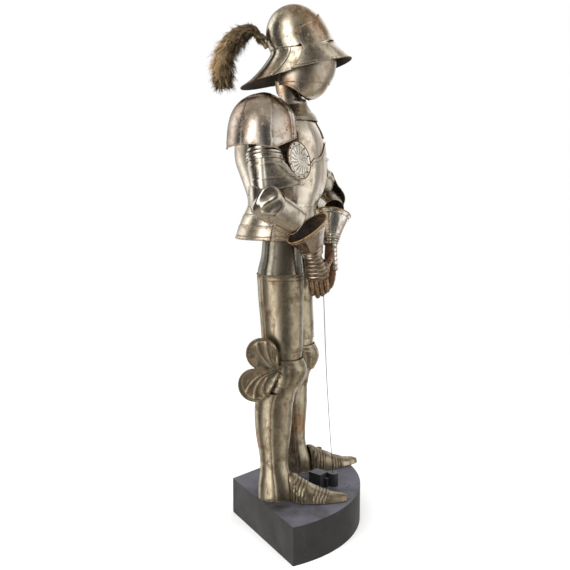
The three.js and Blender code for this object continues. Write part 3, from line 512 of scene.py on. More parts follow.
def plate_steel(name, metal, stain, rust=0.5, roughness=0.3, seed=0.0, edge=6.0, rust_at=(), mottle=0.5):
    """Polished steel gone warm with age: stains, rust in patches and along the edges, fine scratches."""
    box = Paintbox(name)
    patina = box.between(box.noise(6, 5, 0.62, seed=seed), 0.36, 0.68)
    blotch = box.between(box.noise(21, 6, 0.72, seed=seed + 3), 0.49, 0.64)
    worn = box.between(box.noise(70, 4, 0.65, seed=seed + 5), 0.42, 0.66)
    distance = box.node("Attribute", 2, {"attribute_name": "rim"})
    uneven = box.between(box.noise(38, 5, 0.7, seed=seed + 8), 0.36, 0.62)
    rim = (1 - box.between(distance, 0.4, edge)) * uneven
    patch = box.between(box.noise(8.5, 7, 0.74, seed=seed + 11), 0.63 - 0.05 * rust, 0.72)
    run = box.noise(30, 5, 0.7, seed=seed + 17, stretch=(1, 1, 0.4))
    streak = box.between(run, 0.575, 0.66) * (0.75 * rust)
    rusty = (rim * (0.35 + 0.6 * rust)).most((patch * min(1, 1.3 * rust)).most(streak))
    rusty = rusty * (0.45 + worn * 0.55)
    pits = box.between(box.noise(230, 3, 0.6, seed=seed), 0.64, 0.72) * blotch
    drawn = box.noise(30, 3, 0.6, seed=seed + 2, stretch=(1, 1, 9))
    shade = box.tint(patina, metal, tuple(0.55 * m + 0.45 * s for m, s in zip(metal, stain)))
    shade = box.tint(blotch * (0.4 + 0.4 * mottle), shade, stain)
    cloud = box.between(box.noise(48, 6, 0.72, seed=seed + 14, stretch=(1, 1, 0.5)), 0.47, 0.64)
    shade = box.tint(cloud * mottle, shade, tuple(0.35 * m + 0.65 * s for m, s in zip(metal, stain)))
    for place, reach in rust_at:
        shade = box.tint(box.near(place, reach) * (0.4 + worn * 0.35 + blotch * 0.2), shade,
                         (0.3, 0.15, 0.065))
    shade = box.tint(rusty, shade, (0.15, 0.06, 0.02))
    shade = box.tint(pits, shade, (0.05, 0.032, 0.02))
    shade = box.tint((1 - box.between(distance, 0.7, 2.0)) * (0.25 + worn * 0.5), shade,
                     (0.11, 0.06, 0.028))
    # Hollows go dark brown and rougher: partly grime, partly painted shade.
    hollow_grime_and_shade = box.between(box.node("Attribute", 2, {"attribute_name": "grime"}), 0.25, 1.0)
    shade = box.tint(hollow_grime_and_shade * 0.6, shade, (0.085, 0.052, 0.028))
    rough = roughness + patina * 0.08 + blotch * 0.12 + (drawn - 0.5) * 0.1
    rough = rough + rusty * 0.35 + pits * 0.3 + hollow_grime_and_shade * 0.2
    dents = box.bump(box.noise(11, 2, seed=seed), 0.006, 0.07)
    return box.finish(
        Base_Color=shade,
        Metallic=1 - rusty * 0.6 - pits * 0.4,
        Roughness=rough,
        Normal=box.bump(box.noise(330, 3, seed=seed) + pits * -0.6 + rusty * 0.4, 0.0004, 0.16, dents),
    )


leg_steel = plate_steel("yellowed_leg_steel", (0.47, 0.405, 0.29), (0.13, 0.09, 0.045), 0.9, 0.29,
                        seed=1.3, mottle=1.0,
                        rust_at=(((-150, -36, 698), 34), ((-150, -3, 578), 34), ((100, -38, 644), 40),
                                 ((130, -20, 357), 80), ((-170, 70, 761), 30), ((-160, 99, 366), 46)))

FLOOR = 140.3  # The plinth's top, in millimetres as all sizes below.
STEP, GAP = 2.1, 0.3  # From one plate to the next one lapped over it, and between two edges.
# How each leg stands: moved ahead, outward and turned out at the ankle, and the foot's own turn.
POSES = {
    "right": dict(side=-1, advance=0, spread=0, turn_out=0, foot_turn=0, ankle=(-138, 30)),
    "left": dict(side=1, advance=36, spread=14, turn_out=24, foot_turn=28.5, ankle=(154, -14)),
}
foot = curve("half top bend", (54, 41, 237, 0), (72, 44, 236, 0), (90, 46, 222, 0), (118, 47, 207, 0),
             (152, 47, 189, 2), (190, 42, 175, 4), (226, 32, 167, 7), (254, 20, 165, 9), (270, 9, 159, 10))


def foot_form(side, foot_turn, ankle, **_):
    heading = math.radians(foot_turn)
    ahead = np.array([math.sin(heading), -math.cos(heading)])
    left = np.array([-ahead[1], ahead[0]])

    def form(d, angle):
        f = foot(d)
        across, front = oval(angle, 2.3)
        off = f["half"] * across - side * f["bend"]
        sole = FLOOR + 2.5
        return points(ankle[0] + ahead[0] * d + left[0] * off, ankle[1] + ahead[1] * d + left[1] * off,
                      sole + (f["top"] - sole) * np.maximum(front, 0))

    return form


def foot_lames(d, angle):
    """Edges of the riveted lames: three at the instep, three over the toes, each a small step."""
    sweep = d - 9 * np.cos(np.radians(angle)) ** 2
    lames = sum(hump(sweep, place, 2.6, 2.4) - hump(sweep, place + 5.2, 2.4, 0.5)
                for place in (73, 85, 97, 109, 152, 164, 176, 188))
    return lames - 16 * (1 - smooth(d, 62, 98)) * np.sin(np.radians(angle)) ** 2


def spot(form, s, a, lift=0.0, sense=1):
    """A place on a form and the way out from it."""
    here = form(np.array([s]), np.array([a]))[0]
    down = (form(np.array([s + 0.01]), np.array([a])) - form(np.array([s - 0.01]), np.array([a])))[0]
    across = (form(np.array([s]), np.array([a + 0.5])) - form(np.array([s]), np.array([a - 0.5])))[0]
    out = np.cross(down, across) * sense
    out /= np.linalg.norm(out)
    return here + out * lift, out


def spots(form, stations, angles, lift, sense=1):
    return [spot(form, s, a, lift, sense) for s in stations for a in angles]


def rivets(name, places, radius, height, material=None, body="armour"):
    """Round rivet heads, peened down on the plate: one mesh for a whole row."""
    vertices, faces = [], []
    rings = [(1.0, -0.6), (1.0, 0.15), (0.86, 0.55), (0.5, 0.9)]
    for here, out in places:
        out = Vector(out).normalized()
        side = out.orthogonal().normalized()
        other = out.cross(side)
        base = len(vertices)
        for share, rise in rings:
            for k in range(10):
                turn = 2 * math.pi * k / 10
                round_ = side * math.cos(turn) + other * math.sin(turn)
                vertices.append(Vector(here) + round_ * radius * share + out * height * rise)
        vertices += [Vector(here) + out * height, Vector(here) - out * height * 0.6]
        for i in range(len(rings) - 1):
            for k in range(10):
                n = (k + 1) % 10
                faces.append((base + 10 * i + k, base + 10 * i + n, base + 10 * i + 10 + n,
                              base + 10 * i + 10 + k))
        top = base + 10 * (len(rings) - 1)
        faces += [(top + k, top + (k + 1) % 10, base + 10 * len(rings)) for k in range(10)]
        faces += [(base + (k + 1) % 10, base + k, base + 10 * len(rings) + 1) for k in range(10)]
    return piece(name, vertices, faces, body, material or rivet_steel)


box = Paintbox("rusty_rivet")
rivet_rust = box.between(box.noise(55, 4, 0.7), 0.4, 0.62)
rivet_steel = box.finish(
    Base_Color=box.tint(rivet_rust, (0.33, 0.26, 0.17), (0.12, 0.05, 0.02)),
    Metallic=1 - rivet_rust * 0.6,
    Roughness=box.noise(80, 3) * 0.4 + 0.3,
)

for label, pose in POSES.items():
    form = foot_form(**pose)
    forge(f"sabaton_shell_{label}", form, (lambda a: 62 - 7 * np.cos(np.radians(a)) ** 2, 270), (-90, 90),
          beads=(0, 0, 1.4, 1.4), rows=130, columns=56,
          relief=foot_lames, steel=leg_steel, nodes=f"sabaton_{label}")
    rivets(f"sabaton_rivets_{label}", spots(form, (81, 103, 161, 183), (-66, 66), 3.6), 2.1, 1.2)

# Greaves: a front and a back plate for each shin, beaten to the shape of the calf and held
# together with pins and small hinges down the outer side. The lower lame of the knee laps over.
leg_rings = curve(
    "out half front back", (1112, 104, 68, -60, 74), (1040, 107, 72, -63, 80), (985, 110, 76, -68, 92),
    (940, 113, 76, -68, 90), (880, 116, 74, -69, 86), (809, 120, 70, -69, 79), (717, 125, 64, -68, 71),
    (660, 127, 59, -64, 57), (620, 128, 57, -66, 56), (580, 129, 55, -58, 62), (545, 130, 57, -42, 88),
    (494, 131, 59, -33, 101), (433, 132, 58, -30, 101), (375, 133, 53, -24, 96), (318, 134, 46, -18, 86),
    (270, 135, 42, -18, 81), (235, 136, 41, -26, 83), (190, 137, 42, -40, 88), (FLOOR, 138, 42, -46, 88),
)


HIP_HEIGHT, HIP_TO_ANKLE, LEG_AXIS = 1112, 812, 20


def posed(x, y, z, out, side, advance, spread, turn_out, share=1.0, **_):
    """Moves a straight leg's point with the pose: forward, outward and turned further down."""
    down = np.clip((HIP_HEIGHT - z) / HIP_TO_ANKLE, 0, 1)
    turn = np.radians(turn_out * share * down**1.5)
    y = y - LEG_AXIS
    return points(side * (out + spread * down) + x * np.cos(turn) - y * np.sin(turn),
                  LEG_AXIS + x * np.sin(turn) + y * np.cos(turn) - advance * down, z)


def leg_form(pose):
    def form(z, angle):
        r = leg_rings(z)
        across, front = oval(angle, 2.15)
        return posed(r["half"] * across, mix(r["back"], r["front"], (front + 1) / 2), z, r["out"], **pose)

    return form


def shin_ridge(z, angle):
    """The shin's edge down the front, and the flat border beside the side seam."""
    seam_side = np.abs(folded(angle) - 90)
    return (hump(angle, 0, 9, 1.6) * smooth(z, 250, 330) + hump(seam_side, 8, 4.5, 0.9)
            + hump(z, 152, 4, 0.8))


for label, pose in POSES.items():
    form = leg_form(pose)
    outside = 90 * pose["side"]
    forge(f"greave_shin_{label}", form, (548, FLOOR), (-90, 90), beads=(0, 1.6, 0, 0), rows=60, columns=56,
          relief=shin_ridge, steel=leg_steel, nodes=f"greave_front_{label}")
    forge(f"greave_calf_{label}", form, (548, FLOOR), (90.4, 269.6), beads=(1.4, 1.6, 0, 0),
          rows=60, columns=56,
          relief=shin_ridge, steel=leg_steel, nodes=f"greave_back_{label}")
    rivets(f"greave_rivets_{label}",
           spots(form, (505, 470, 350, 300, 205), (outside - 9,), 3.2)
           + spots(form, (505, 350, 205), (outside + 9,), 3.2), 2.3, 1.3)

# Knees: a domed cop on two lames, with a two-lobed wing on the outside of the joint. The wing
# is sunk and raised cold over a stake, with three flutes fanning over each lobe.
knee_rings = curve("half front", (672, 64, -68), (650, 68, -76), (622, 70, -79), (598, 68, -75),
                   (576, 64, -64))
KNEE_HEIGHT, KNEE_OUT = 640, 128
LOBES = ((62, 704, 58), (88, 590, 61))  # Each lobe's middle, back and up, and its radius.
WING_ROOT, FIRST_RAY, LAST_RAY = 2, 118, -108


def knee_form(pose):
    def form(z, angle):
        r = knee_rings(z)
        across, front = oval(angle, 2.1)
        return posed(r["half"] * across, mix(58, r["front"], (front + 1) / 2), z, KNEE_OUT, **pose)

    return form


def wing_form(pose):
    side = pose["side"]

    def form(share, ray):
        way = np.radians(mix(FIRST_RAY, LAST_RAY, ray / 100))
        far = np.full_like(way, 24.0)
        for y, z, r in LOBES:
            along = (WING_ROOT - y) * np.cos(way) + (KNEE_HEIGHT - z) * np.sin(way)
            inside = along**2 - ((WING_ROOT - y) ** 2 + (KNEE_HEIGHT - z) ** 2 - r * r)
            far = np.maximum(far, np.where(inside > 0, -along + np.sqrt(np.maximum(inside, 0)), 24))
        out = far * share / 100
        return posed(side * (77 + 20 * (share / 100) ** 1.4), WING_ROOT + np.cos(way) * out,
                     KNEE_HEIGHT + np.sin(way) * out, KNEE_OUT, **{**pose, "share": 0.7})

    return form


def wing_flutes(share, ray):
    """Three thin curved ridges over each lobe, and the dip where the wing joins the cop."""
    way = mix(FIRST_RAY, LAST_RAY, ray / 100)
    t = share / 100
    reach = np.maximum(t * 118, 8)
    total = 0
    for middle, bow in ((80, 34), (63, 38), (47, 42), (-27, -50), (-41, -54), (-56, -56)):
        off = np.radians(way - middle + bow * (0.75 - t)) * reach
        total = total + hump(off, 0, 2.4, 3.4) + hump(off, 0, 7.0, 1.2)
    field = smooth(t, 0.2, 0.42) * (1 - smooth(t, 0.84, 0.93))
    return total * field - hump(t, 0.93, 0.02, 0.8) - 5.5 * (1 - smooth(t, 0.02, 0.3))


def cop_relief(z, angle):
    """A soft keel on the cop, a raised band at its top and foot, and a beaten hollow at the sides."""
    return (hump(angle, 0, 7, 1.2) + hump(z, 668, 2.2, 1.0) + hump(z, 580, 2.2, 1.0)
            - hump(np.abs(angle), 66, 16, 2.4)
            + hump(z, 624, 24, 5.5) * smooth(90 - np.abs(angle), 20, 60)
            + hump(z - KNEE_HEIGHT - 0.16 * np.abs(angle), 0, 2.4, 1.2))


for label, pose in POSES.items():
    leg, knee, wing = leg_form(pose), knee_form(pose), wing_form(pose)
    outside = 90 * pose["side"]
    forge(f"poleyn_lame_upper_{label}", leg, (718, 655), (-96, 96), rows=14, columns=60,
          relief=lambda z, a: hump(a, 0, 8, 1.0), steel=leg_steel, nodes=f"knee_lame_upper_{label}")
    forge(f"poleyn_cop_{label}", knee, (672, 576), (-104, 104), lift=STEP, beads=(0.9, 0.9, 0, 0), rows=44,
          columns=90, relief=cop_relief, steel=leg_steel, nodes=f"poleyn_{label}")
    forge(f"poleyn_lame_lower_{label}", leg,
          (594, lambda a: mix(508, 552, np.minimum(np.abs(a) / 84, 1) ** 1.3)),
          (lambda z: -84 - 28 * smooth(z, 548, 566), lambda z: 84 + 28 * smooth(z, 548, 566)),
          lift=STEP, beads=(0, 0.8, 0.6, 0.6), rows=40, columns=80,
          relief=lambda z, a: hump(a, 0, 8, 1.2) + hump(z, 572, 2.4, 0.6), steel=leg_steel,
          nodes=f"knee_lame_lower_{label}")
    forge(f"poleyn_lobes_{label}", wing, (3, 100), (0, 100), beads=(0, 2.2, 1.2, 1.2), rows=90, columns=200,
          relief=wing_flutes, sense=-pose["side"], steel=leg_steel, nodes=f"poleyn_wing_{label}")
    rivets(f"poleyn_rivets_{label}",
           spots(leg, (702, 690), (-70, -30, 30, 70), 4.2)
           + [spot(leg, 530 + 14 * (abs(a) > 40), a, 4.4) for a in (-60, -22, 22, 60)]
           + [spot(knee, z, outside * 0.92, 4.6) for z in (654, 594)], 2.2, 1.3)

# Cuisses: a plate round the front and sides of each thigh and a hinged strip behind, over the
# upper thigh plate. The top edge is turned out, with a raised double line inside it.
thigh_steel = plate_steel("grey_thigh_steel", (0.27, 0.255, 0.205), (0.14, 0.115, 0.08), 0.3,
                          0.22, seed=6.1)


def rod(name, path, radius, material, closed=False, sides=8, taper=None):
    """A round bar, wire or thong along a path in millimetres."""
    path = [Vector(p) for p in path]
    vertices, faces, count = [], [], len(path)
    side = None
    for i, here in enumerate(path):
        ahead = path[(i + 1) % count] if closed or i + 1 < count else here
        behind = path[i - 1] if closed or i else here
        along = (ahead - behind).normalized()
        side = (side - along * side.dot(along)).normalized() if side else along.orthogonal().normalized()
        other = along.cross(side)
        r = radius * (1 if taper is None else taper[i])
        vertices += [here + (side * math.cos(2 * math.pi * k / sides)
                             + other * math.sin(2 * math.pi * k / sides)) * r
                     for k in range(sides)]
    for i in range(count if closed else count - 1):
        n = (i + 1) % count
        faces += [(i * sides + k, i * sides + (k + 1) % sides, n * sides + (k + 1) % sides, n * sides + k)
                  for k in range(sides)]
    if not closed:
        faces += [tuple(range(sides)), tuple((count - 1) * sides + k for k in range(sides))]
    return piece(name, vertices, faces, "armour", material)


def cuisse_lines(z, angle):
    """Double line that follows the top edge and turns down along the side edges."""
    top = 980 - z
    side = (140 - np.abs(angle)) * 1.15
    inner = np.minimum(top, side + 2)
    corner = np.minimum(inner, 0.72 * (top + side * 0.7) - 2)
    return (hump(corner, 15, 2.2, 1.6) - hump(corner, 20.5, 2.4, 0.6) + hump(corner, 26, 1.8, 0.9)
            + hump(z, 712, 3, 0.8))


def thigh_flutes(z, angle):
    return (hump(np.abs(angle), 46, 7, 2.6) + hump(np.abs(angle), 118, 8, 2.6)
            - hump(np.abs(angle), 80, 22, 2.0))


for label, pose in POSES.items():
    form = leg_form(pose)
    outside = 90 * pose["side"]
    forge(f"thigh_tube_{label}", form, (1110, 950), rows=26, columns=96, relief=thigh_flutes,
          steel=thigh_steel,
          nodes=f"thigh_plate_{label}")
    forge(f"cuisse_front_{label}", form, (980, 700), (-140, 140), lift=STEP,
          beads=(2.2, 1.0, 0.9, 0.9), rows=92,
          columns=96, relief=cuisse_lines, steel=leg_steel, nodes=f"cuisse_{label}")
    forge(f"cuisse_strip_{label}", form, (980, 718), (140.5, 219.5), lift=STEP,
          beads=(2.2, 1.0, 0.7, 0.7), rows=60,
          columns=36, relief=lambda z, a: hump(np.abs(a - 180), 30, 2.4, 1.2), steel=leg_steel,
          nodes=f"cuisse_back_{label}")
    rivets(f"cuisse_rivets_{label}",
           spots(form, (940, 872, 834, 770), (133, -133), 4.9)
           + spots(form, (958,), (-110, -75, -40, 0, 40, 75, 110), 5.2), 2.6, 1.5)
    hook, out = spot(form, 876, outside * 2 - 34 * pose["side"], 4.5)
    level = np.array([0, 1.0, 0]) if pose["side"] < 0 else np.array([out[0], out[1], 0])
    rod(f"cuisse_staple_{label}",
        [hook + np.array([0, 0, z]) + out * reach
         for z, reach in ((19, -3), (19, 7), (16, 10), (-16, 10), (-19, 7), (-19, -3))],
        1.7, rivet_steel)

# Trunk: a backplate and a breastplate that meet down the sides, left open at neck and armholes.
# Over the breast lies the plackart, its upper edge cut in cusps and filed to a bevel.
body_steel = plate_steel("worn_breast_steel", (0.84, 0.76, 0.64), (0.32, 0.235, 0.15), 0.5, 0.22, seed=9.4)
WAIST, HEM = 1218, 1099
trunk_rings = curve(
    "half front back", (1548, 98, -90, 138), (1520, 122, -102, 162), (1480, 146, -121, 182),
    (1430, 162, -129, 190),
    (1380, 168, -133, 187), (1330, 167, -134, 170), (1280, 159, -124, 152), (1245, 152, -112, 142),
    (1218, 149, -103, 142), (1190, 158, -104, 154), (1150, 172, -108, 169), (1098, 186, -112, 184),
)


def breast_keel(z, angle):
    return 6 * np.maximum(0, 1 - folded(angle) / 18) * smooth(z, 1215, 1290) * (1 - smooth(z, 1440, 1515))


trunk = hooped(trunk_rings, 2.25, breast_keel)


def armhole(z):
    return smooth(z, 1350, 1400) * (1 - smooth(z, 1470, 1535))


SEAM = 89.88


def cusps(angle):
    share = np.minimum(np.abs(angle) / SEAM, 1)
    return 1346 + 104 * (1 - share) ** 1.7 - 16 * np.abs(np.sin(2.5 * math.pi * share))


def breast_relief(z, angle):
    """A turned stop-rib at the neck and a drawn line that curves beside each armhole."""
    side = SEAM - 30 * armhole(z) - np.abs(angle)
    return (hump(z, 1538, 3.2, 2.0) + hump(side, 7, 2.4, 1.0) * smooth(z, 1380, 1410)
            + hump(np.abs(angle), 24 + 16 * smooth(z, 1400, 1500), 3.0, 1.0) * smooth(z, 1400, 1440))


def plackart_relief(z, angle):
    """Rays that run down from the points of the cusps, and the bevelled border inside them."""
    below = cusps(angle) - z
    share = np.abs(angle) / SEAM
    rays = (sum(hump(share, place, 0.03, 1.4) for place in (0.4, 0.8)) * smooth(below, 6, 30)
            * (1 - smooth(below, 90, 130)))
    return hump(below, 7, 2.6, 1.2) - hump(below, 12.5, 2.6, 0.5) + rays + hump(angle, 0, 2.6, 1.2)


forge("backplate_shell", trunk, (1548, WAIST + GAP),
      (lambda z: 180 - (SEAM - 26 * armhole(z)), lambda z: 180 + SEAM - 26 * armhole(z)),
      lift=STEP, beads=(2.4, 0, 1.4, 1.4), rows=70, columns=90,
      relief=lambda z, a: -hump(a, 180, 7, 4.5) * smooth(z, 1225, 1290) * (1 - smooth(z, 1440, 1530))
      + hump(np.abs(a - 180), 36, 9, 1.6), steel=body_steel, nodes="backplate")
forge("breastplate_shell", trunk, (1548, WAIST + GAP),
      (lambda z: -(SEAM - 30 * armhole(z)), lambda z: SEAM - 30 * armhole(z)),
      beads=(2.2, 0, 1.6, 1.6), rows=80, columns=110,
      relief=lambda z, a: breast_relief(z, a) * smooth(z, 1370, 1390), steel=body_steel,
      nodes="breastplate")
forge("plackart_shell", trunk, (cusps, WAIST + GAP), (-SEAM, SEAM), lift=STEP + 1, beads=(1.1, 0, 0.8, 0.8),
      rows=64, columns=130, relief=plackart_relief, steel=body_steel, nodes="plackart")
rivets("trunk_rivets",
       [spot(trunk, z, s * (SEAM - 5 - 30 * float(armhole(z))), 2.4) for s in (-1, 1)
        for z in (1500, 1440, 1396)]
       + [spot(trunk, z, s * 84, 5.4) for s in (-1, 1) for z in (1322, 1276, 1234)]
       + [spot(trunk, float(cusps(np.array(a * 1.0))) - 12, a, 5.8) for a in (-54, -18, 18, 54)], 2.8, 1.6)

# Skirt: two hoops in front and three behind, each lapping over the one above. Slot-headed pins
# hold them to hidden leather straps, and the lowest edges are turned and rusty.
hoop_steel = plate_steel("rusty_hoop_steel", (0.92, 0.83, 0.68), (0.28, 0.19, 0.095), 1.0, 0.2,
                         seed=14.2, edge=12)


def hoop_relief(top, foot):
    return lambda z, a: hump(z, foot + 7, 2.6, 1.3) - hump(z, foot + 13, 2.6, 0.5)


for label, middle, hoops in (("fauld", 0, ((WAIST - GAP, 1158), (1166, HEM))),
                             ("culet", 180, ((WAIST - GAP, 1176), (1184, 1138), (1146, HEM)))):
    for k, (top, low) in enumerate(hoops):
        last = low == HEM
        forge(f"{label}_hoop_{k + 1}", trunk, (top, low), (middle - SEAM, middle + SEAM),
              lift=(k + 1) * STEP,
              beads=(0, 1.9 if last else 0.5, 0.7, 0.7), rows=22, columns=110, relief=hoop_relief(top, low),
              steel=hoop_steel, nodes=f"{label}_{k + 1}")
    rivets(f"{label}_rivets", [spot(trunk, top - 16, middle + a, (k + 1) * STEP + 2.4)
                               for k, (top, low) in enumerate(hoops)
                               for a in (-80, -40, 0, 40, 80)], 3.2, 1.9)

# Gorget: the collar plate of the bevor, reaching down inside the neck of the breast. A strap
# with a forged buckle and a thong tie it to the breastplate.
gorget_rings = curve("front back half", (1668, -60, 74, 68), (1610, -64, 66, 68), (1584, -71, 70, 73),
                     (1562, -84, 100, 91), (1546, -99, 146, 110), (1522, -110, 170, 131))
gorget = hooped(gorget_rings, 2)


def gorget_reach(z):
    return mix(118, 62, smooth(1652 - z, 20, 118))


face_steel = plate_steel("soft_bevor_steel", (0.53, 0.47, 0.38), (0.24, 0.17, 0.1), 0.7, 0.24, seed=19.7,
                         rust_at=(((-22, -142, 1634), 34), ((-75, -60, 1745), 30), ((-95, 10, 1640), 60)))
forge("gorget_collar", gorget, (lambda a: mix(1604, 1664, smooth(np.abs(a), 30, 72)), 1524),
      (lambda z: -gorget_reach(z), gorget_reach), beads=(1.8, 1.0, 1.2, 1.2), rows=56, columns=90,
      relief=lambda z, a: hump(z, 1592, 3, 1.2) + hump(z, 1537, 2.4, 0.9), steel=face_steel, nodes="gorget")

box = Paintbox("worn_strap_leather")
grain = box.noise(420, 4, 0.65)
creased = box.between(box.noise(26, 5, 0.7), 0.45, 0.7)
strap_leather = box.finish(
    Base_Color=box.tint(creased, (0.075, 0.036, 0.018), (0.21, 0.115, 0.06)),
    Roughness=box.noise(60, 3) * 0.25 + 0.45,
    Normal=box.bump(grain + creased * 0.6, 0.0007, 0.7),
)
forge("gorget_strap", trunk, (1520, 1462), (-4.5, 4.5), lift=STEP + 0.6, wall=2,
      beads=(0.4, 0.4, 0.4, 0.4), rows=34,
      columns=12, relief=lambda z, a: hump(np.abs(a), 3.4, 0.4, -0.35)
      + 0.25 * np.sin(z / 1.1) * smooth(z, 1490, 1500),
      steel=strap_leather, slot="leather", nodes="breast_strap")


def rounded_oblong(centre, right, up, width, height, steps=32):
    """Points round a forged buckle's frame."""
    centre, right, up = Vector(centre), Vector(right), Vector(up)
    found = []
    for k in range(steps):
        a = math.radians(360 * k / steps)
        c, s = math.cos(a), math.sin(a)
        found.append(centre + right * width * math.copysign(abs(c) ** 0.5, c)
                     + up * height * math.copysign(abs(s) ** 0.5, s))
    return found


throat, _ = spot(trunk, 1514, 0, 8)
rod("gorget_buckle", rounded_oblong(throat, (1, 0, 0), (0, -0.25, 0.97), 11, 8), 1.5, rivet_steel,
    closed=True)
rod("gorget_buckle_tongue", [throat + np.array([0, -1.6, 8]), throat + np.array([0, -3.2, 2]),
                             throat + np.array([0, -1.2, -9])],
    1.1, rivet_steel)
for k, (x, tilt) in enumerate(((-5, 0.5), (4, -0.3))):
    top, out = spot(trunk, 1526, x * 0.4, 7)
    rod(f"gorget_thong_{k + 1}",
        [top + out * (2 + 3 * math.sin(t * 3.1)) + np.array([x + tilt * 14 * t, -2 * t, 22 - 62 * t])
         for t in np.linspace(0, 1, 14)],
        1.2, strap_leather)
rivets("gorget_rivets", spots(gorget, (1580,), (-58, -30, 30, 58), 3.4)
       + spots(gorget, (1548,), (-52, 52), 3.2) + spots(trunk, (1484, 1468), (0,), 6),
       2.5, 1.5)

# Pauldrons: one great plate over each shoulder, riveted up from sections along two seams, with
# its lower edge turned over a wire. Rust has run at the top and along the front seam.
pauldron_steel = plate_steel("streaked_pauldron_steel", (0.7, 0.64, 0.56), (0.3, 0.17, 0.09), 0.8, 0.16,
                             seed=25.1, edge=9,
                             rust_at=(((-215, 150, 1590), 120), ((-150, 10, 1610), 90),
                                      ((-225, -60, 1500), 80),
                                      ((-235, 175, 1450), 60)), mottle=0.35)
pauldron_ribs = curve(
    "fx fy fz nx ny nz", (0, 162, -50, 1457, 122, -44, 1528), (1, 198, -52, 1453, 119, -16, 1564),
    (2, 252, -37, 1440, 118, 12, 1592), (3, 296, 14, 1418, 121, 40, 1608),
    (4, 304, 66, 1428, 123, 66, 1614),
    (5, 292, 116, 1428, 123, 94, 1609), (6, 258, 158, 1424, 120, 122, 1597),
    (7, 212, 182, 1420, 116, 148, 1576),
    (8, 170, 189, 1418, 112, 164, 1550),
)
# How each arm hangs: places and directions in millimetres, and the sizes in which the two differ.
ARMS = {
    "right": dict(side=-1, pauldron_shift=0, shoulder=(-226, 56, 1480), elbow=(-292, 33, 1237), flare=1,
                  forearm_end=(-238, -66, 1168), forearm_radius=45, thumb_side=(0, -1, 0),
                  cuff_foot=(27, 33, 33), lame_wrap=80,
                  wrist=(-186, -112, 1054), rim=(-236, -96, 1150),
                  rim_normal=(-0.31, 0.53, 0.79), rim_radius=79, knuckles=(-142, -128, 966),
                  tips=(-95, -134, 872),
                  disc=(-190, -60, 1379), disc_normal=(-0.47, -0.863, 0.188)),
    "left": dict(side=1, pauldron_shift=-50, shoulder=(208, 18, 1480), elbow=(286, -126, 1240), flare=0.25,
                 forearm_end=(168, -162, 1200), forearm_radius=38, thumb_side=(-0.85, -0.53, 0),
                 cuff_foot=(24, 31, 31), lame_wrap=110,
                 wrist=(78, -156, 1070), rim=(135, -160, 1184),
                 rim_normal=(0.42, -0.1, 0.9), rim_radius=68, knuckles=(56, -157, 966),
                 tips=(38, -143, 872),
                 disc=(144, -124, 1390), disc_normal=(0.08, -0.985, 0.13)),
}


def unit(v):
    v = np.asarray(v, float)
    return v / np.linalg.norm(v)


def pauldron_form(side, shift):
    def form(t, rib):
        r = pauldron_ribs(rib)
        rise = np.sin(np.radians(90 * np.maximum(t, 0))) ** 0.8
        inset = 1 - np.cos(np.radians(90 * t))
        return points(side * mix(r["fx"], r["nx"], inset), mix(r["fy"], r["ny"], inset)
                      + mix(shift, 0, inset),
                      mix(r["fz"], r["nz"], rise))

    return form


def pauldron_relief(t, rib):
    """The lap of each seam, a border above the turned edge, and the step of the front wing."""
    lap = sum(1.2 * smooth(rib, seam - 0.02, seam + 0.02) for seam in (3.05, 5.1)) - 1.2
    return lap + hump(t, 0.05, 0.02, 0.7) - hump(rib, 1.55, 0.13, 1.2) + hump(t, 0.93, 0.02, 1.0)


for label, arm in ARMS.items():
    side = arm["side"]
    form = pauldron_form(side, arm["pauldron_shift"])
    forge(f"pauldron_plate_{label}", form, (0, 0.96), (0, 8), beads=(2.0, 0.8, 1.4, 1.4), rows=80,
          columns=170,
          relief=pauldron_relief, sense=-side, steel=pauldron_steel, nodes=f"pauldron_{label}")
    rivets(f"pauldron_rivets_{label}",
           spots(form, (0.06, 0.12, 0.2, 0.28), (3.2,), 2.2, -side)
           + spots(form, (0.06, 0.14, 0.24, 0.34), (5.25,), 2.8, -side)
           + [spot(form, t, rib, 2, -side) for t, rib in ((0.12, 2.2), (0.06, 1.5), (0.22, 0.6))],
           2.7, 1.6)

# Upper arms: two short lames under the pauldron, each beaten as a set of false laps, over the
# rerebrace, whose front flares into a deep flange with a turned edge.
arm_steel = plate_steel("polished_arm_steel", (0.62, 0.57, 0.485), (0.22, 0.165, 0.1), 0.4, 0.15,
                        seed=31.9, mottle=0.6)
CANNON_RADIUS = 52
upper_arm = curve("half front back", (0.15, 48, 44, 48), (0.27, 51, 49, 55), (0.41, 52, 56, 58),
                  (0.53, 52, 66, 59),
                  (0.68, 52, 84, 57), (0.85, 52, 112, 53), (0.93, 51, 126, 51), (1, 50, 104, 49))


def limb(start, end, ahead=(0, -1, 0)):
    """A straight limb's place, run, front and side."""
    start = np.asarray(start, float)
    along = unit(np.asarray(end, float) - start)
    ahead = np.asarray(ahead, float)
    front = unit(ahead - along * ahead.dot(along))
    return start, along, front, np.cross(front, along)


def round_limb(frame, distance, angle, half, front, back):
    start, along, ahead, side = frame
    a = np.radians(angle)
    c = np.cos(a)
    return (start + np.multiply.outer(np.asarray(distance) + 0 * c, along)
            + np.multiply.outer(half * np.sin(a), side)
            + np.multiply.outer(np.where(c > 0, front, back) * c, ahead))


def false_laps(first, pitch, height):
    """Saw-tooth steps, as of narrow lames lapping one over the next."""
    def relief(s, angle):
        share = np.mod((s - first) / pitch, 1)
        return height * (smooth(share, 0.0, 0.12) - smooth(share, 0.12, 1.0) * 0.95) - height
    return relief


def elbow_of(arm):
    """The elbow's places and directions, its bend, and how far the cannons stay from it."""
    shoulder, elbow, end = (np.array(arm[key], float) for key in ("shoulder", "elbow", "forearm_end"))
    to_shoulder, to_wrist = unit(shoulder - elbow), unit(end - elbow)
    bend = math.pi - math.acos(to_shoulder.dot(to_wrist))
    return shoulder, elbow, end, to_shoulder, to_wrist, bend, CANNON_RADIUS * math.tan(bend / 2)


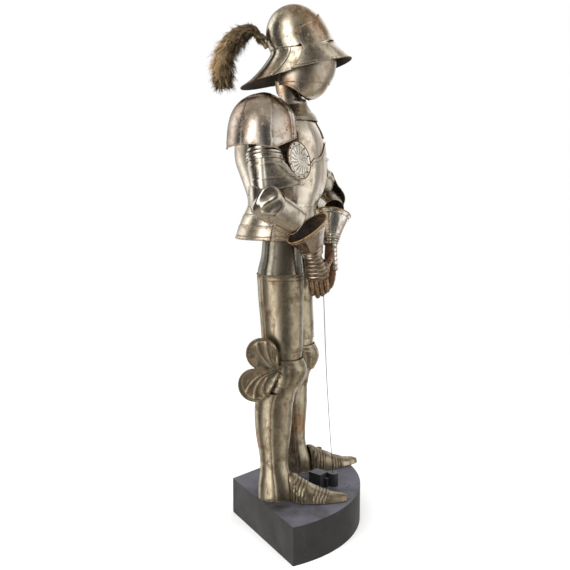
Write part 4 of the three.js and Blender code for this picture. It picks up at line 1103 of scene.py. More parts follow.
def upper_form(arm):
    shoulder, elbow, _, _, _, _, reach = elbow_of(arm)
    frame = limb(shoulder, elbow)
    length = np.linalg.norm(shoulder - elbow) - reach - 6

    def form(share, angle):
        r = upper_arm(share)
        return round_limb(frame, share * length, angle, r["half"], mix(50, r["front"], arm["flare"]),
                          r["back"])

    return form


def rerebrace_relief(share, angle):
    """Border lines inside the flange's edge, the raised fold that runs into it, and a seam line."""
    return (hump(share, 0.86, 0.014, 1.0)
            + hump(folded(angle), 42 - 30 * smooth(share, 0.55, 1), 6, 3.4) * smooth(share, 0.56, 0.72)
            - hump(folded(angle), 92, 1.6, 0.8) + hump(share, 0.62, 0.02, 0.9))


for label, arm in ARMS.items():
    form, side = upper_form(arm), arm["side"]
    middle = 270 if side < 0 else 90
    forge(f"arm_lames_top_{label}", form, (0.15, 0.38), (middle - 150, middle + 150),
          beads=(0, 0.4, 0.5, 0.5),
          rows=80, columns=80, relief=false_laps(0.15, 0.0767, 2.6), steel=arm_steel,
          nodes=f"arm_lame_upper_{label}")
    forge(f"arm_lames_low_{label}", form, (0.36, 0.53), (middle - 150, middle + 150), lift=STEP + 0.5,
          beads=(0.8, 0.6, 0.6, 0.6), rows=44, columns=80,
          relief=lambda s, a: hump(s, 0.405, 0.014, 2.2) + hump(s, 0.46, 0.014, 2.2)
          - hump(s, 0.432, 0.01, 0.8),
          steel=arm_steel,
          nodes=f"arm_lame_lower_{label}")
    dip = 0.07 if side < 0 else 0.17
    forge(f"rerebrace_cannon_{label}", form,
          (0.5, lambda a, dip=dip: mix(0.94, 1, smooth(-np.cos(np.radians(a)), -1, 0))
           - dip * np.sin(np.radians(a))),
          beads=(0, 2.2, 0, 0), rows=80, columns=128,
          relief=rerebrace_relief, steel=arm_steel, nodes=f"rerebrace_{label}")
    rivets(f"arm_rivets_{label}", [spot(form, 0.5, middle + a, 5.2) for a in (-110, -60, 0, 60, 110)]
           + [spot(form, s, middle + a, 2.2) for s, a in ((0.74, 30), (0.66, 84), (0.8, -40))], 2.4, 1.4)

# Couters: each hugs both cannons at the bend of the elbow. It is raised to a tip, creased from
# the tip to its edge, and its outer side runs out in a leaf-shaped wing.


def couter_form(arm):
    shoulder, elbow, end, to_shoulder, to_wrist, bend, reach = elbow_of(arm)
    tip = -unit(to_shoulder + to_wrist)
    outside = unit(np.cross(to_shoulder, to_wrist)) * arm["side"]
    across = np.cross(tip, outside)
    limit = math.degrees(bend / 2 + math.atan((reach + 6) / CANNON_RADIUS)) + 6

    def form(share, azimuth):
        a = np.radians(azimuth)
        out = np.cos(a)
        polar = (limit + 34 * smooth(out, 0.6, 1) + 8 * smooth(-out, 0.6, 1)) * share
        p = np.radians(polar)
        way = (np.multiply.outer(np.cos(p), tip) + np.multiply.outer(np.sin(p) * out, outside)
               + np.multiply.outer(np.sin(p) * np.sin(a), across))
        hug = np.maximum(*[57.5 / np.sqrt(1 - np.maximum(way @ axis, 0) ** 2)
                           for axis in (to_shoulder, to_wrist)])
        rise = (hug + 5 * np.maximum(0, 1 - polar / 30) ** 2
                + 12 * smooth(share, 0.6, 1) * smooth(out, 0.5, 1))
        return elbow + way * rise[..., None]

    return form


def couter_relief(share, azimuth):
    """Creases that fan from the tip, two leaf-shaped hollows beside the wing, and a border."""
    total = 0
    for way, height in ((0, 3.4), (40, 2.8), (-40, 2.8), (180, 2.4)):
        off = np.radians(turned(azimuth - way)) * np.maximum(share * 60, 5)
        total = (total + hump(off, 0, 5.5, height) * smooth(share, 0.12, 0.4)
                 * (1 - smooth(share, 0.88, 0.98)))
    for way in (20, -20):
        off = np.radians(turned(azimuth - way)) * np.maximum(share * 60, 5)
        total = total - hump(off, 0, 11, 3) * smooth(share, 0.3, 0.62) * (1 - smooth(share, 0.8, 0.95))
    return total - hump(share, 0.93, 0.016, 0.5)


for label, arm in ARMS.items():
    form = couter_form(arm)
    forge(f"couter_cop_{label}", form, (0, 1), beads=(0, 1.5, 0, 0), rows=60, columns=150,
          relief=couter_relief,
          steel=arm_steel, nodes=f"couter_{label}")
    rivets(f"couter_rivets_{label}", spots(form, (0.88,), (52, 118, -118, -52), 2.6)
           + [spot(form, 0.9, 8, 3)],
           2.4, 1.5)

# Vambraces: plain tapered tubes of thin steel on the forearms, rolled round a mandrel and closed
# with a riveted lap on the inside. The wrist end is turned over.


def vambrace_form(arm):
    _, elbow, end, _, _, _, reach = elbow_of(arm)
    frame = limb(elbow, end)
    length = np.linalg.norm(end - elbow)

    def form(distance, angle):
        radius = mix(CANNON_RADIUS, arm["forearm_radius"], distance / length)
        return round_limb(frame, distance, angle, radius, radius, radius)

    return form, reach + 3, length


for label, arm in ARMS.items():
    form, first, last = vambrace_form(arm)
    forge(f"vambrace_cannon_{label}", form, (first, last), beads=(0, 1.3, 0, 0), rows=26, columns=96,
          relief=lambda s, a, last=last: hump(folded(a), 90, 4, 1.4) + hump(s, last - 7, 1.6, 0.9),
          steel=arm_steel, nodes=f"vambrace_{label}")
    rivets(f"vambrace_rivets_{label}", spots(form, (last - 16,), (90, 150, 250, 300), 2.4), 2.3, 1.4)

# Besagews: dished discs that hang on thongs before the armpits. Each is fluted like a shell
# round a boss, pierced near the edge, and bound with a rolled brass-coloured rim gone dark.
besagew_steel = plate_steel("pale_besagew_steel", (0.95, 0.92, 0.84), (0.55, 0.47, 0.34), 0.1, 0.36,
                            seed=40.3, edge=3)
disc_profile = curve("h", (0, 17), (6, 12), (14, 7), (30, 3.5), (54, 2), (66, 5))
box = Paintbox("blackened_pin")
dark_pin = box.finish(Base_Color=box.tint(box.noise(90, 2), (0.012, 0.008, 0.006), (0.04, 0.024, 0.014)),
                      Roughness=0.6)
box = Paintbox("dark_rolled_rim")
rim_wear = box.between(box.noise(60, 5, 0.7), 0.42, 0.64)
rim_brown = box.finish(
    Base_Color=box.tint(rim_wear, (0.12, 0.055, 0.025), (0.33, 0.2, 0.09)),
    Metallic=0.35 + rim_wear * 0.5,
    Roughness=0.62 - rim_wear * 0.25,
    Normal=box.bump(box.noise(300, 3), 0.0005, 0.5),
)


def disc_form(arm):
    normal = unit(arm["disc_normal"])
    up = unit(np.array([0, 0, 1]) - normal * normal[2])
    level = np.cross(normal, up)

    def form(r, angle):
        a = np.radians(angle)
        return (np.array(arm["disc"], float) + np.multiply.outer(r * np.cos(a), up)
                + np.multiply.outer(r * np.sin(a), level)
                + np.multiply.outer(disc_profile(r)["h"] + 0 * a, normal))

    return form, normal


def shell_flutes(r, angle):
    """Sixteen flutes, each sharp between two hollows, between the boss and the dotted border."""
    turn = angle + 16 * smooth(r, 8, 52)
    wave = np.abs(np.sin(np.radians(turn * 8)))
    return 4.4 * wave**0.4 * smooth(r, 8, 22) * (1 - smooth(r, 46, 52)) + hump(r, 53, 1.4, 0.9)


def bead_ring(form, s, angles, lift):
    return [spot(form, s, a, lift)[0] for a in angles]


for label, arm in ARMS.items():
    form, normal = disc_form(arm)
    forge(f"besagew_disc_{label}", form, (0, 66), beads=(0, 0, 0, 0), rows=60, columns=256,
          relief=shell_flutes,
          steel=besagew_steel, nodes=f"besagew_{label}")
    rod(f"besagew_rim_{label}", bead_ring(form, 65.2, np.arange(0, 360, 5), 1.2), 2.3, rim_brown,
        closed=True, sides=12)
    rivets(f"besagew_pins_{label}", [spot(form, 58.5, a, 2.7) for a in range(15, 375, 30)], 3.3,
           1.5, dark_pin)
    strap_foot = np.array([arm["side"] * 158, -34 if label == "right" else -60, 1345])

    def strap_form(s, a, foot=strap_foot):
        return foot + points(foot[0] * 0.0002 * s, a + 0.12 * s, s)

    forge(f"arming_strap_{label}", strap_form, (0, 150), (-34, 34), wall=2.4, beads=(0.3, 0.3, 0.4, 0.4),
          rows=24, columns=18,
          sense=-arm["side"], steel=strap_leather, slot="leather")
    rod(f"besagew_bar_{label}", [form(np.array([20.0]), np.array([80.0 * -arm["side"]]))[0] - normal * 4,
                                 strap_foot + np.array([arm["side"] * 30, 62, 68])], 1.7, rivet_steel)

# Gauntlets: a wide bell cuff with a rolled rim, lapped lames at the wrist and over the back of
# the hand, and small scales along each finger, all riveted to a soft leather glove.
# Right gauntlet: darker steel than the left's, partly browning and rust, partly painted shade for the dark
# reflections of its cuff.
browned_and_shaded_steel = plate_steel("browned_and_shaded_gauntlet_steel", (0.6, 0.51, 0.42), (0.12, 0.07, 0.04), 0.85, 0.15,
                            seed=47.2, mottle=0.8)
scale_steel = plate_steel("rusty_finger_scale_steel", (0.42, 0.31, 0.21), (0.08, 0.04, 0.02), 1.0, 0.2,
                          seed=44.1, edge=3, mottle=1.0)
GAUNTLET_STEEL = {"right": browned_and_shaded_steel,
                  "left": plate_steel("bright_gauntlet_steel", (1.0, 0.96, 0.88), (0.25, 0.17, 0.1),
                                                              0.6, 0.16, seed=52.6)}
box = Paintbox("golden_rust_rim")
rim_patch = box.between(box.noise(46, 5, 0.7), 0.4, 0.62)
rim_gold = box.finish(
    Base_Color=box.tint(rim_patch, (0.5, 0.33, 0.15), (0.14, 0.06, 0.02)),
    Metallic=0.85 - rim_patch * 0.5,
    Roughness=box.noise(90, 3) * 0.3 + 0.3 + rim_patch * 0.2,
    Normal=box.bump(box.noise(330, 3), 0.0005, 0.5),
)
box = Paintbox("brown_glove_leather")
hide = box.noise(360, 4, 0.62)
fold = box.between(box.noise(34, 5, 0.7), 0.42, 0.68)
soil = box.between(box.noise(12, 4, 0.6), 0.4, 0.7)
glove_leather = box.finish(
    Base_Color=box.tint(soil, box.tint(fold, (0.15, 0.066, 0.026), (0.075, 0.032, 0.013)),
                        (0.045, 0.022, 0.011)),
    Roughness=box.noise(50, 3) * 0.25 + 0.5,
    Normal=box.bump(hide + fold * 1.2, 0.0009, 0.8),
)
FINGERS = (64, 78, 84, 72)


def cuff_form(arm):
    """The bell from its tilted rim down to the wrist, drawn in a little between them."""
    hand = limb(arm["wrist"], arm["knuckles"], arm["thumb_side"])
    rim = np.array(arm["rim"], float)
    mouth = limb(rim, rim - unit(arm["rim_normal"]), arm["thumb_side"])
    axis = (np.array(arm["wrist"], float) + rim) / 2

    def form(t, angle):
        low = round_limb(hand, 0, angle, *arm["cuff_foot"])
        high = round_limb(mouth, 0, angle, arm["rim_radius"], arm["rim_radius"], arm["rim_radius"])
        inward = axis - (low + high) / 2
        inward = inward / np.linalg.norm(inward, axis=-1, keepdims=True)
        return mix(high, low, t[..., None]) + inward * (5 * np.sin(math.pi * t))[..., None]

    return form


def cuff_relief(t, angle):
    """Long shallow flutes down the bell, a border under the rim, and the laps at the wrist."""
    flutes = (1.3 * np.abs(np.cos(np.radians(angle * 4))) ** 5 * smooth(t, 0.12, 0.3)
              * (1 - smooth(t, 0.6, 0.74)))
    laps = sum(hump(t, place, 0.02, 2.4) - hump(t, place + 0.035, 0.014, 1.0)
               for place in (0.74, 0.81, 0.88, 0.95))
    return flutes + laps + hump(t, 0.1, 0.016, 1.6)


def palm_form(arm):
    hand = limb(arm["wrist"], arm["knuckles"], arm["thumb_side"])
    length = float(np.linalg.norm(np.array(arm["knuckles"], float) - arm["wrist"]))
    rings = curve("s half front back", (0, -30, 17, 21, 21), (1, 0, 19, 26, 26),
                  (2, length / 2, 18, 34, 34),
                  (3, length, 15, 36, 36), (4, length + 5, 0, 0, 0))

    def form(t, angle):
        r = rings(t)
        return round_limb(hand, r["s"], angle, r["half"], r["front"], r["back"])

    return form, hand


def digit_form(root, way, length, radius, arm):
    side, frame = arm["side"], limb(root, np.asarray(root) + way, arm["thumb_side"])
    rings = curve("r curl", (-3, radius, 0), (length * 0.5, radius, 0), (length * 0.88, radius * 0.85, 3),
                  (length, radius * 0.4, 5))

    def form(s, angle):
        r = rings(s)
        tip = np.sqrt(np.clip(1 - (np.maximum(s - length + 7, 0) / 7.05) ** 2, 0.02, 1))
        knuckle = 1 + hump(s, length * 0.42, 6, 0.09) + hump(s, length * 0.74, 5, 0.06)
        reach = np.maximum(r["r"], radius * 0.78) * tip * knuckle
        return (round_limb(frame, s, angle, reach, reach, reach)
                - np.multiply.outer(side * r["curl"] + 0 * angle, frame[3]))

    return form


def hand_laps(t, angle):
    """Six lames lapped over the back of the hand."""
    return false_laps(1.0, 0.308, 2.4)(t, angle) + 2.4


for label, arm in ARMS.items():
    side = arm["side"]
    outside = 90 * side
    cuff = cuff_form(arm)
    forge(f"gauntlet_bell_{label}", cuff, (0, 1), beads=(0, 0, 0, 0), rows=90, columns=150,
          relief=cuff_relief,
          steel=GAUNTLET_STEEL[label], nodes=f"gauntlet_cuff_{label}")
    rod(f"gauntlet_rim_{label}", bead_ring(cuff, 0.008, np.arange(0, 360, 4), 1.0), 2.5, rim_gold,
        closed=True, sides=12)
    rivets(f"gauntlet_rim_rivets_{label}", [spot(cuff, 0.125, a, 2.2) for a in range(0, 360, 24)], 2.4, 1.4)
    palm, hand = palm_form(arm)
    palm_skin = forge(f"gauntlet_glove_{label}", palm, (0, 3.98), lift=-2, wall=2, rows=50, columns=64,
                      relief=lambda t, a: hump(folded(a - outside), 180, 16, -1.0) * smooth(t, 1, 2),
                      steel=glove_leather, slot="leather", nodes=f"glove_{label}")
    forge(f"gauntlet_hand_lames_{label}", palm, (1, 2.85),
          (outside - arm["lame_wrap"], outside + 80), lift=1.2,
          beads=(0, 0.5, 0.5, 0.5), rows=80, columns=56, relief=hand_laps, sense=1,
          steel=GAUNTLET_STEEL[label],
          nodes=f"hand_lames_{label}")
    fingers = limb(arm["knuckles"], arm["tips"])
    digits = []
    for k, length in enumerate(FINGERS):
        root = np.array(arm["knuckles"], float) + hand[2] * 17.4 * (1.5 - k)
        digits.append((f"finger_{k + 1}", digit_form(root, fingers[1], length, 8.7, arm), length,
                       8.7, outside))
    thumb_root = round_limb(hand, 40, np.array(0.0), 0, 30, 0) - hand[3] * side * 10
    thumb_way = unit(hand[1] - hand[3] * side * 0.35)
    digits.append(("thumb", digit_form(thumb_root, thumb_way, 62, 10, arm), 62, 10, outside - 40 * side))
    for which, form, length, radius, middle in digits:
        forge(f"gauntlet_{which}_{label}", form, (-3, length), lift=-1.5, wall=1.5, rows=30, columns=24,
              steel=glove_leather, slot="leather")
        count = 6 if which != "thumb" else 4
        first = 2 if which != "thumb" else 16
        pitch = (length - 5 - first) / count
        for j in range(count):
            start = first + j * pitch
            forge(f"gauntlet_{which}_scale_{j + 1}_{label}", form, (start, start + pitch * 1.22),
                  (middle - 82, middle + 82), lift=0.3 + 0.05 * j, wall=0.9, beads=(0.3, 0.3, 0, 0),
                  rows=8, columns=20,
                  relief=lambda s, a, start=start, pitch=pitch,
                  middle=middle: 1.2 * smooth(s, start, start + pitch)
                  + hump(turned(a - middle), 0, 14, 0.9), steel=scale_steel)
    rivets(f"gauntlet_rivets_{label}",
           [spot(palm, t, outside + a, 4.4) for t in (1.2, 1.5, 1.82, 2.12, 2.44, 2.74) for a in (-66, 66)]
           + [spot(palm, 2.76, outside + a, 4.6) for a in (-45, -15, 15, 45)]
           + [spot(form, 6, middle, 3.2) for _, form, _, _, middle in digits[:4]], 1.9, 1.3)

# Bevor: the chin plate and, over it, the face plate that catches with a spring pin. Both are
# raised from sheet steel, bright at the ridges and brown in the hollows, partly stain and partly painted
# shade.
bevor_rings = curve(
    "z front back half", (0, 1766, -166, 62, 96), (1, 1734, -168, 62, 97), (2, 1692, -162, 60, 95),
    (3, 1664, -148, 58, 91), (4, 1638, -134, 56, 87), (5, 1619, -117, 54, 83), (6, 1609, -100, 52, 80),
    (7, 1608, -80, 50, 77),
)


bevor = hooped(bevor_rings, 2, lambda ring, angle: 5 * np.maximum(0, 1 - np.abs(angle) / 22))


def jaw(angle):
    """The lower edge rises along the jaw towards the ears."""
    return mix(7, 3.6, smooth(np.abs(angle), 15, 125))


forge("bevor_face_plate", bevor, (0, 3.3), (-130, 130), lift=STEP + GAP,
      beads=(1.2, 1.0, 0.8, 0.8), rows=56, columns=130,
      relief=lambda r, a: hump(r, 3.12, 0.05, 0.5) + hump(r, 1.3 + 0.004 * np.abs(a), 0.09, 0.5),
      steel=face_steel, nodes="bevor_face")
forge("bevor_chin_plate", bevor, (2.7, jaw), (-130, 130), beads=(0, 1.2, 0.8, 0.8), rows=60, columns=110,
      relief=lambda r, a: hump(r, jaw(a) - 0.35, 0.09, 0.8), steel=face_steel, nodes="bevor_chin")
rivets("bevor_rivets", [spot(bevor, r, a, 4.4)
                        for r, a in ((1.0, -100), (1.8, -104), (3.05, -58), (3.05, 58),
                                     (3.1, -24), (3.1, 24),
                                                        (1.0, 100), (0.5, -46), (0.5, 46), (1.8, 104))]
       + [spot(bevor, r, a, 2.4) for r, a in ((4.4, -72), (4.4, 72), (5.4, -34), (5.4, 34))], 2.5, 1.5)

# Sallet: the skull is raised from one sheet, with a low comb. Its tail is lengthened with two
# lapped plates, and a short tube at the back takes the plume.
helm_steel = plate_steel("beige_helmet_steel", (0.84, 0.76, 0.62), (0.26, 0.2, 0.1), 0.75, 0.15,
                         seed=55.8, edge=8,
                         rust_at=(((-70, 140, 1655), 120), ((-125, 60, 1715), 50), ((-40, -75, 1915), 100),
                                  ((-85, -120, 1850), 80)), mottle=1.0)
helmet_rings = curve(
    "fy fz by bz half", (0, -26, 1935, -26, 1935, 0), (1, -66, 1923, 14, 1925, 50),
    (2, -105, 1896, 49, 1902, 79),
    (3, -129, 1862, 68, 1870, 96), (4, -145, 1834, 74, 1838, 104), (5, -160, 1806, 72, 1808, 108),
    (6, -176, 1784, 64, 1786, 110), (7, -191, 1770, 57, 1763, 113), (8, -208, 1755, 84, 1721, 119),
    (9, -219, 1747, 126, 1676, 125), (10, -228, 1741, 171, 1641, 130),
)


def helmet(ring, angle):
    r = helmet_rings(ring)
    across, front = oval(angle, 2.15)
    share = (front + 1) / 2
    return points(r["half"] * across, mix(r["by"], r["fy"], share), mix(r["bz"], r["fz"], share))


def comb(ring, angle):
    """The low ridge over the skull's middle."""
    off = np.radians(folded(angle))
    off = np.minimum(off, math.pi - off) * np.maximum(helmet_rings(ring)["half"], 1)
    return hump(off, 0, 4.0, 1.6) * smooth(ring, 0.2, 0.7)


forge("sallet_bowl", helmet, (0, lambda a: mix(3.4, 6.6, smooth(np.abs(a), 66, 98))), lift=STEP,
      beads=(0, 0.8, 0, 0),
      rows=80, columns=160, relief=comb, steel=helm_steel, nodes="sallet_skull")
foot_of_tube, top_of_tube = np.array([0, 76, 1790.0]), np.array([0, 101, 1826.0])
tube_frame = limb(foot_of_tube, top_of_tube)
tube_length = float(np.linalg.norm(top_of_tube - foot_of_tube))
forge("sallet_plume_tube", lambda s, a: round_limb(tube_frame, s, a, 7.4, 7.4, 7.4),
      (0, tube_length), lift=0,
      wall=1.6, beads=(0, 0.8, 0, 0), rows=16, columns=32, steel=rivet_steel)
forge("sallet_neck_lame", helmet, (6.66, lambda a: np.where(np.abs(a - 180) < 60, 9.1, 10)),
      (84, 276), lift=0,
      beads=(0, 0.6, 0.6, 0.6), rows=40, columns=130,
      relief=lambda r, a: hump(np.abs(a - 180), 88, 0.9, 0.9), steel=helm_steel, nodes="neck_lame")
forge("sallet_tail", helmet, (6.72, 10), (108, 252), lift=STEP + GAP, beads=(0.6, 1.6, 0.7, 0.7), rows=60,
      columns=110,
      relief=lambda r, a: hump(a, 180, 1.8, 1.6) + hump(r, 9.8, 0.05, 0.8)
      + hump(np.abs(a - 180), 69, 0.9, 0.8),
      steel=helm_steel, nodes="tail_plate")
rivets("sallet_rivets",
       [spot(helmet, 5.9, 180 + s * a, 4.2) for s in (-1, 1) for a in (30, 60)]
       + [spot(helmet, 4.95, s * 104, 4.2) for s in (-1, 1)]
       + [spot(helmet, r, 180 + s * a, 4.4) for s in (-1, 1)
          for r, a in ((7.3, 66), (8.4, 66), (9.4, 64), (9.2, 30), (7.4, 30))]
       + [spot(helmet, 9.5, 180 + s * 88, 2.4) for s in (-1, 1)], 2.4, 1.5)

# Visor: it turns on the two rosettes. The brow ends in a step, the sight is a long slit with
# beaten lips, and the lower edge flares to a thin brim.
SLIT_MIDDLE, SLIT_SIDE, SLIT_HALF = 5.0, 5.7, 45  # Rings at its middle and ends, and its half angle.


def visor_top(angle):
    return mix(1.95, 4.25, (np.abs(angle) / 90) ** 1.4)


def visor_slit(angle):
    return mix(SLIT_MIDDLE, SLIT_SIDE, np.minimum(np.abs(angle) / SLIT_HALF, 1.3) ** 1.6)


def visor_relief(ring, angle):
    """Lips round the sight, a crease under it, and a rounded thickening at the brow."""
    sight = ring - visor_slit(angle) - 0.16
    wide = 1 - smooth(np.abs(angle), SLIT_HALF + 2, SLIT_HALF + 16)
    lips = (1.8 * (np.exp(-((sight + 0.22) / 0.08) ** 2) - 0.6 * np.exp(-((sight - 0.24) / 0.08) ** 2))
            * wide)
    return (lips + hump(ring - visor_top(angle), 0.07, 0.05, 1.4) + hump(ring, 9.35, 0.09, 0.8)
            + hump(angle, 0, 2.2, 1.1))


forge("visor_plate", helmet, (visor_top, 10), (-90, 90), lift=2 * STEP + 1.8,
      beads=(1.0, 1.7, 0.9, 0.9), rows=190,
      columns=150, relief=visor_relief, body="visor", steel=helm_steel, nodes="visor",
      hole=lambda r, a: (np.abs(a) < SLIT_HALF) & (np.abs(r - visor_slit(a) - 0.16) < 0.15 * np.sqrt(
          np.clip(1.02 - (a / SLIT_HALF) ** 4, 0, 1))))


def rosette(name, side):
    """A six-petalled washer under the pivot's head."""
    here, out = spot(helmet, 4.35, side * 86, 2 * STEP + 3.8)
    up = unit(np.array([0, 0.1, 1.0]) - out * (np.array([0, 0.1, 1.0]) @ out))
    level = np.cross(out, up)
    frame = here - out * 0.6, up, level

    def form(r, angle):
        a = np.radians(angle)
        edge = 12 + 1.8 * np.abs(np.cos(3 * a))
        return (frame[0] + np.multiply.outer(r * edge * np.cos(a), up)
                + np.multiply.outer(r * edge * np.sin(a), level)
                + np.multiply.outer(3.0 * np.exp(-(r / 0.55) ** 2)
                                    + 0.8 * np.cos(3 * a) ** 2 * hump(r, 0.72, 0.2, 1), out))

    forge(name, form, (0, 1), wall=1.0, beads=(0, 0.5, 0, 0), rows=24, columns=96, body="visor",
          steel=rivet_steel)
    return here + out * 3.4, out


pivots = [rosette("visor_rosette_right", -1), rosette("visor_rosette_left", 1)]
rivets("visor_rivets", [spot(helmet, r, s * a, 2 * STEP + 4.2) for s in (-1, 1)
                        for r, a in ((3.55, 78), (6.4, 80), (9.0, 70), (7.9, 84))],
       2.4, 1.5, body="visor")
rivets("visor_pivot_heads", pivots, 4.6, 2.6, body="visor")

# Plume: two ostrich feathers wired together, sooty brown with paler tips. It stands in its tube,
# nods over backwards and hangs, its barbs separate and frayed.
plume_spine = curve("y z r", (0, 102.5, 1828.5, 7), (0.5, 107.5, 1834, 12), (1, 114, 1841, 18),
                    (2, 132, 1851, 27),
                    (3, 164, 1843, 38), (4, 203, 1814, 42), (5, 231, 1772, 44), (6, 241, 1731, 44),
                    (7, 241, 1696, 39),
                    (8, 240, 1666, 20))


def plume_place(t):
    """Places along the quill, its direction there, and how far the barbs reach."""
    here, ahead, behind = (plume_spine(np.clip(t + d, 0, 8)) for d in (0, 0.05, -0.05))
    along = np.stack([0 * t, ahead["y"] - behind["y"], ahead["z"] - behind["z"]], -1)
    along /= np.linalg.norm(along, axis=-1, keepdims=True)
    return np.stack([0 * t, here["y"], here["z"]], -1), along, here["r"]


def barbs(count, locks, seed):
    """Barbs clotted into locks: they leave the quill sideways, droop and curl, paler on one side."""
    dice = np.random.default_rng(seed)
    lock_t = np.concatenate([dice.uniform(0.2, 8, locks - 80), dice.uniform(0, 0.6, 40),
                             dice.uniform(7.3, 8, 40)])
    lock_side = dice.uniform(0, 2 * math.pi, locks)
    lock_reach = dice.uniform(0.92, 1.07, locks) * np.where(lock_t > 7.4, dice.uniform(1, 1.6, locks), 1)
    lock_lean = np.where(lock_t < 0.6, dice.uniform(-3, -0.6, locks), dice.uniform(0.2, 1.6, locks))
    tan_side = smooth(np.cos(lock_side + 0.85), 0.45, 0.85) * hump(lock_t, 5.2, 1.5, 1)
    lock_shade = dice.uniform(0, 1, locks) ** 4 * 0.6 + tan_side * dice.uniform(0.55, 1, locks)
    lock_shade = np.clip(lock_shade, 0, 1)
    lock_curl = np.clip(dice.normal(0, 0.16, (locks, 3)), -0.2, 0.2)
    which = dice.integers(0, locks, count)
    t = np.clip(lock_t[which] + dice.normal(0, 0.17, count), 0, 8)
    around = lock_side[which] + dice.normal(0, 0.22, count)
    here, along, reach = plume_place(t)
    tip_here, tip_along, tip_reach = plume_place(lock_t[which])
    reach, tip_reach = np.maximum(reach, 17), np.maximum(tip_reach, 17)

    def away(angle, run):
        across = np.cross([1.0, 0, 0], run)
        return np.sin(angle)[:, None] * np.array([1.0, 0, 0]) + np.cos(angle)[:, None] * across

    out, tip_out = away(around, along), away(lock_side[which], tip_along)
    length = (tip_reach * lock_reach[which] * dice.uniform(0.8, 1.1, count))[:, None]
    tip = tip_here + tip_out * length + tip_along * length * lock_lean[which, None] * 0.5
    tip = (tip + (lock_curl[which] + np.clip(dice.normal(0, 0.12, (count, 3)), -0.16, 0.16)) * length
           - np.array([0, 0, 0.22]) * length)
    start = here + out * (reach * 0.25)[:, None]
    knee = here + out * (reach * 0.72)[:, None] + along * length * 0.08
    steps = np.linspace(0, 1, 6)
    lines = np.stack([start * (1 - s) ** 2 + knee * (2 * s * (1 - s)) + tip * s**2 for s in steps], 1)
    flat = np.cross(along, out) + dice.normal(0, 0.5, (count, 3))
    flat /= np.linalg.norm(flat, axis=-1, keepdims=True)
    width = (1.2 * (1 - 0.8 * steps) + 0.14)[None, :, None]
    left, right = lines - flat[:, None] * width, lines + flat[:, None] * width
    vertices = np.stack([left, right], 2).reshape(-1, 3)
    base = (np.arange(count) * 12)[:, None] + (np.arange(5) * 2)[None, :]
    faces = np.stack([base, base + 1, base + 3, base + 2], -1).reshape(-1, 4)
    shade = np.clip((lock_shade[which] + dice.normal(0, 0.06, count))[:, None]
                    * (0.25 + 0.75 * steps[None, :]), 0, 1)
    return vertices, faces, np.repeat(shade, 2, 1).ravel()


box = Paintbox("sooty_plume")
tip = box.node("Attribute", 2, {"attribute_name": "rim"})
dusty = box.between(box.noise(16, 4, 0.6), 0.38, 0.66)
plume_colour = box.tint(tip, (0.008, 0.006, 0.004), (0.62, 0.43, 0.23))
plume_hair = box.finish(
    Base_Color=box.tint(dusty * 0.25, plume_colour, (0.1, 0.07, 0.035)),
    Roughness=0.86,
    Specular_IOR_Level=0.2,
    Normal=box.bump(box.noise(300, 2), 0.0004, 0.5),
)


def plume_body(t, angle):
    """The matted down close to the quills, combed into locks."""
    here, along, reach = plume_place(t)
    a = np.radians(angle)
    across = np.cross(np.broadcast_to([1.0, 0, 0], along.shape), along)
    lock = 0.66 + 0.1 * np.sin(7 * a + 2.2 * t) + 0.06 * np.sin(13 * a - 5 * t)
    r = reach * lock * np.sqrt(np.clip((8.02 - t) / 0.6, 0, 1))
    return (here + np.sin(a)[..., None] * np.array([1.0, 0, 0]) * r[..., None]
            + across * (np.cos(a) * r)[..., None])


down = forge("plume_down", plume_body, (0.05, 7.98), wall=1.0, lift=-1.0, rows=90, columns=80,
             steel=plume_hair,
             slot="feather", nodes="plume")
down.data.attributes["rim"].data.foreach_set("value", np.full(len(down.data.vertices), 0.12, np.float32))
for k, seed in enumerate((5, 11)):
    vertices, faces, shade = barbs(5200, 620, seed)
    feather = piece(f"plume_barbs_{k + 1}", vertices, faces, "armour", plume_hair,
                    rim=shade, crisp=180)
quill, _, _ = plume_place(np.linspace(0, 6.5, 30))
rod("plume_quill", quill, 1.6, strap_leather, taper=np.linspace(1, 0.35, 30))

# Setting: a pale seamless floor and soft lamps. Bright and dim walls stand round the suit, out of
# sight, for the polished steel to show.
bpy.ops.mesh.primitive_plane_add(size=6.4)
floor = bpy.context.object
floor.name = "studio_floor"
box = Paintbox("pale_floor")
floor.data.materials.append(box.finish(Base_Color=(0.9, 0.895, 0.885), Roughness=0.7,
                                       Specular_IOR_Level=0.0))
floor.visible_glossy = False
floor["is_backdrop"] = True


def soft_lamp(name, place, aim, size, power, tint=(1, 1, 1), shape=None):
    lamp = bpy.data.lights.new(name, "AREA")
    lamp.shape, lamp.size, lamp.size_y = "RECTANGLE", *(shape or (size, size))
    lamp.energy, lamp.color = power, tint
    made = bpy.data.objects.new(name, lamp)
    bpy.context.scene.collection.objects.link(made)
    made.location = place
    made.rotation_euler = (Vector(aim) - Vector(place)).to_track_quat("-Z", "Y").to_euler()
    return made


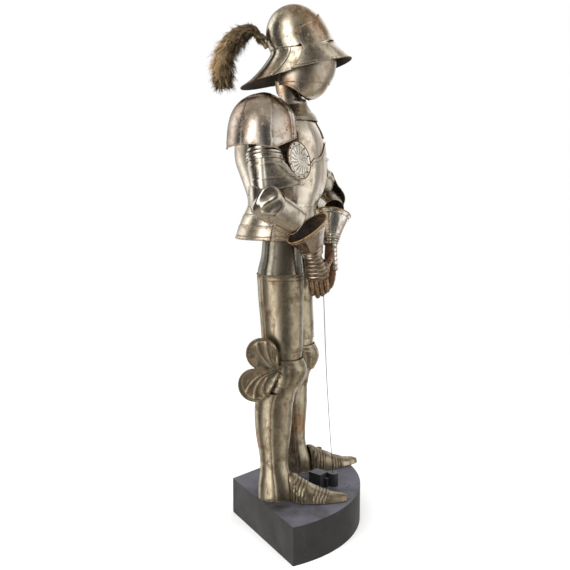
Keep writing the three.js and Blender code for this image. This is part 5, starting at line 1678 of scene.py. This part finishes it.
for lamp in (
    soft_lamp("tall_box_left", (-2.2, 1.7, 1.9), (0, 0, 1.0), 1, 55, shape=(1.4, 2.4)),
    soft_lamp("overhead_box", (-0.8, -0.2, 3.8), (0, 0, 0.8), 2.6, 60),
    soft_lamp("front_box", (-1.4, -2.9, 1.8), (0, 0, 1.0), 1, 40, shape=(1.8, 2.4)),
):
    lamp.visible_glossy = False

# The studio's walls, turned about the suit: how bright they are at each share of a full turn.
WALLS = ((0.0, 0.3), (0.08, 0.1), (0.14, 0.34), (0.2, 0.55), (0.26, 0.03), (0.34, 0.015), (0.38, 0.5),
         (0.405, 1.0),
         (0.44, 1.0), (0.475, 0.08), (0.53, 0.02), (0.6, 0.05), (0.67, 0.34), (0.78, 0.4), (0.85, 0.05),
         (0.92, 0.36))
box = Paintbox("studio", "worlds", "Background")
ahead, level, height = (box.node("SeparateXYZ", axis, Vector=box.node("TexCoord", "Generated"))
                        for axis in "YXZ")
side_share = box.node("Math", settings={"operation": "ARCTAN2"}, _0=ahead, _1=level) * (1 / (2 * math.pi))
turn_share = box.node("Math", settings={"operation": "FRACT"}, _0=side_share + 1)
walls = box.node("ValToRGB", settings={"stops": WALLS}, Fac=turn_share)
glow = box.tint(box.between(height, 0.45, 0.95), walls, (0.13, 0.12, 0.105))
glow = box.tint(box.between(height, -0.3, -0.8), glow, (0.16, 0.145, 0.12))
box.feed(box.shader.inputs["Color"], glow)
box.shader.inputs["Strength"].default_value = 3.2
spread = box.node("LightPath", "Is Diffuse Ray")
plain = box.node("Background", Color=(1, 1, 1), Strength=1.0)
both = box.node("MixShader", _0=box.node("LightPath", "Is Camera Ray").most(spread),
                _1=Mask(box, box.shader.outputs[0]), _2=plain)
box.feed(box.tree.nodes["World Output"].inputs["Surface"], both)
bpy.context.scene.world = box.material
bpy.context.scene.world.cycles.sampling_method = "NONE"
bpy.context.scene.view_settings.view_transform = "Standard"

camera_lens = bpy.data.cameras.new("camera")
camera_lens.lens, camera_lens.sensor_width = 48.8, 36
camera_lens.shift_x = 0.0123
camera = bpy.data.objects.new("camera", camera_lens)
bpy.context.scene.collection.objects.link(camera)
camera.location = (-2.865, -0.352, 1.298)
camera.rotation_euler = Vector((0.9827, 0.1329, -0.1293)).to_track_quat("-Z", "Y").to_euler()
bpy.context.scene.camera = camera

low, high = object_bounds()
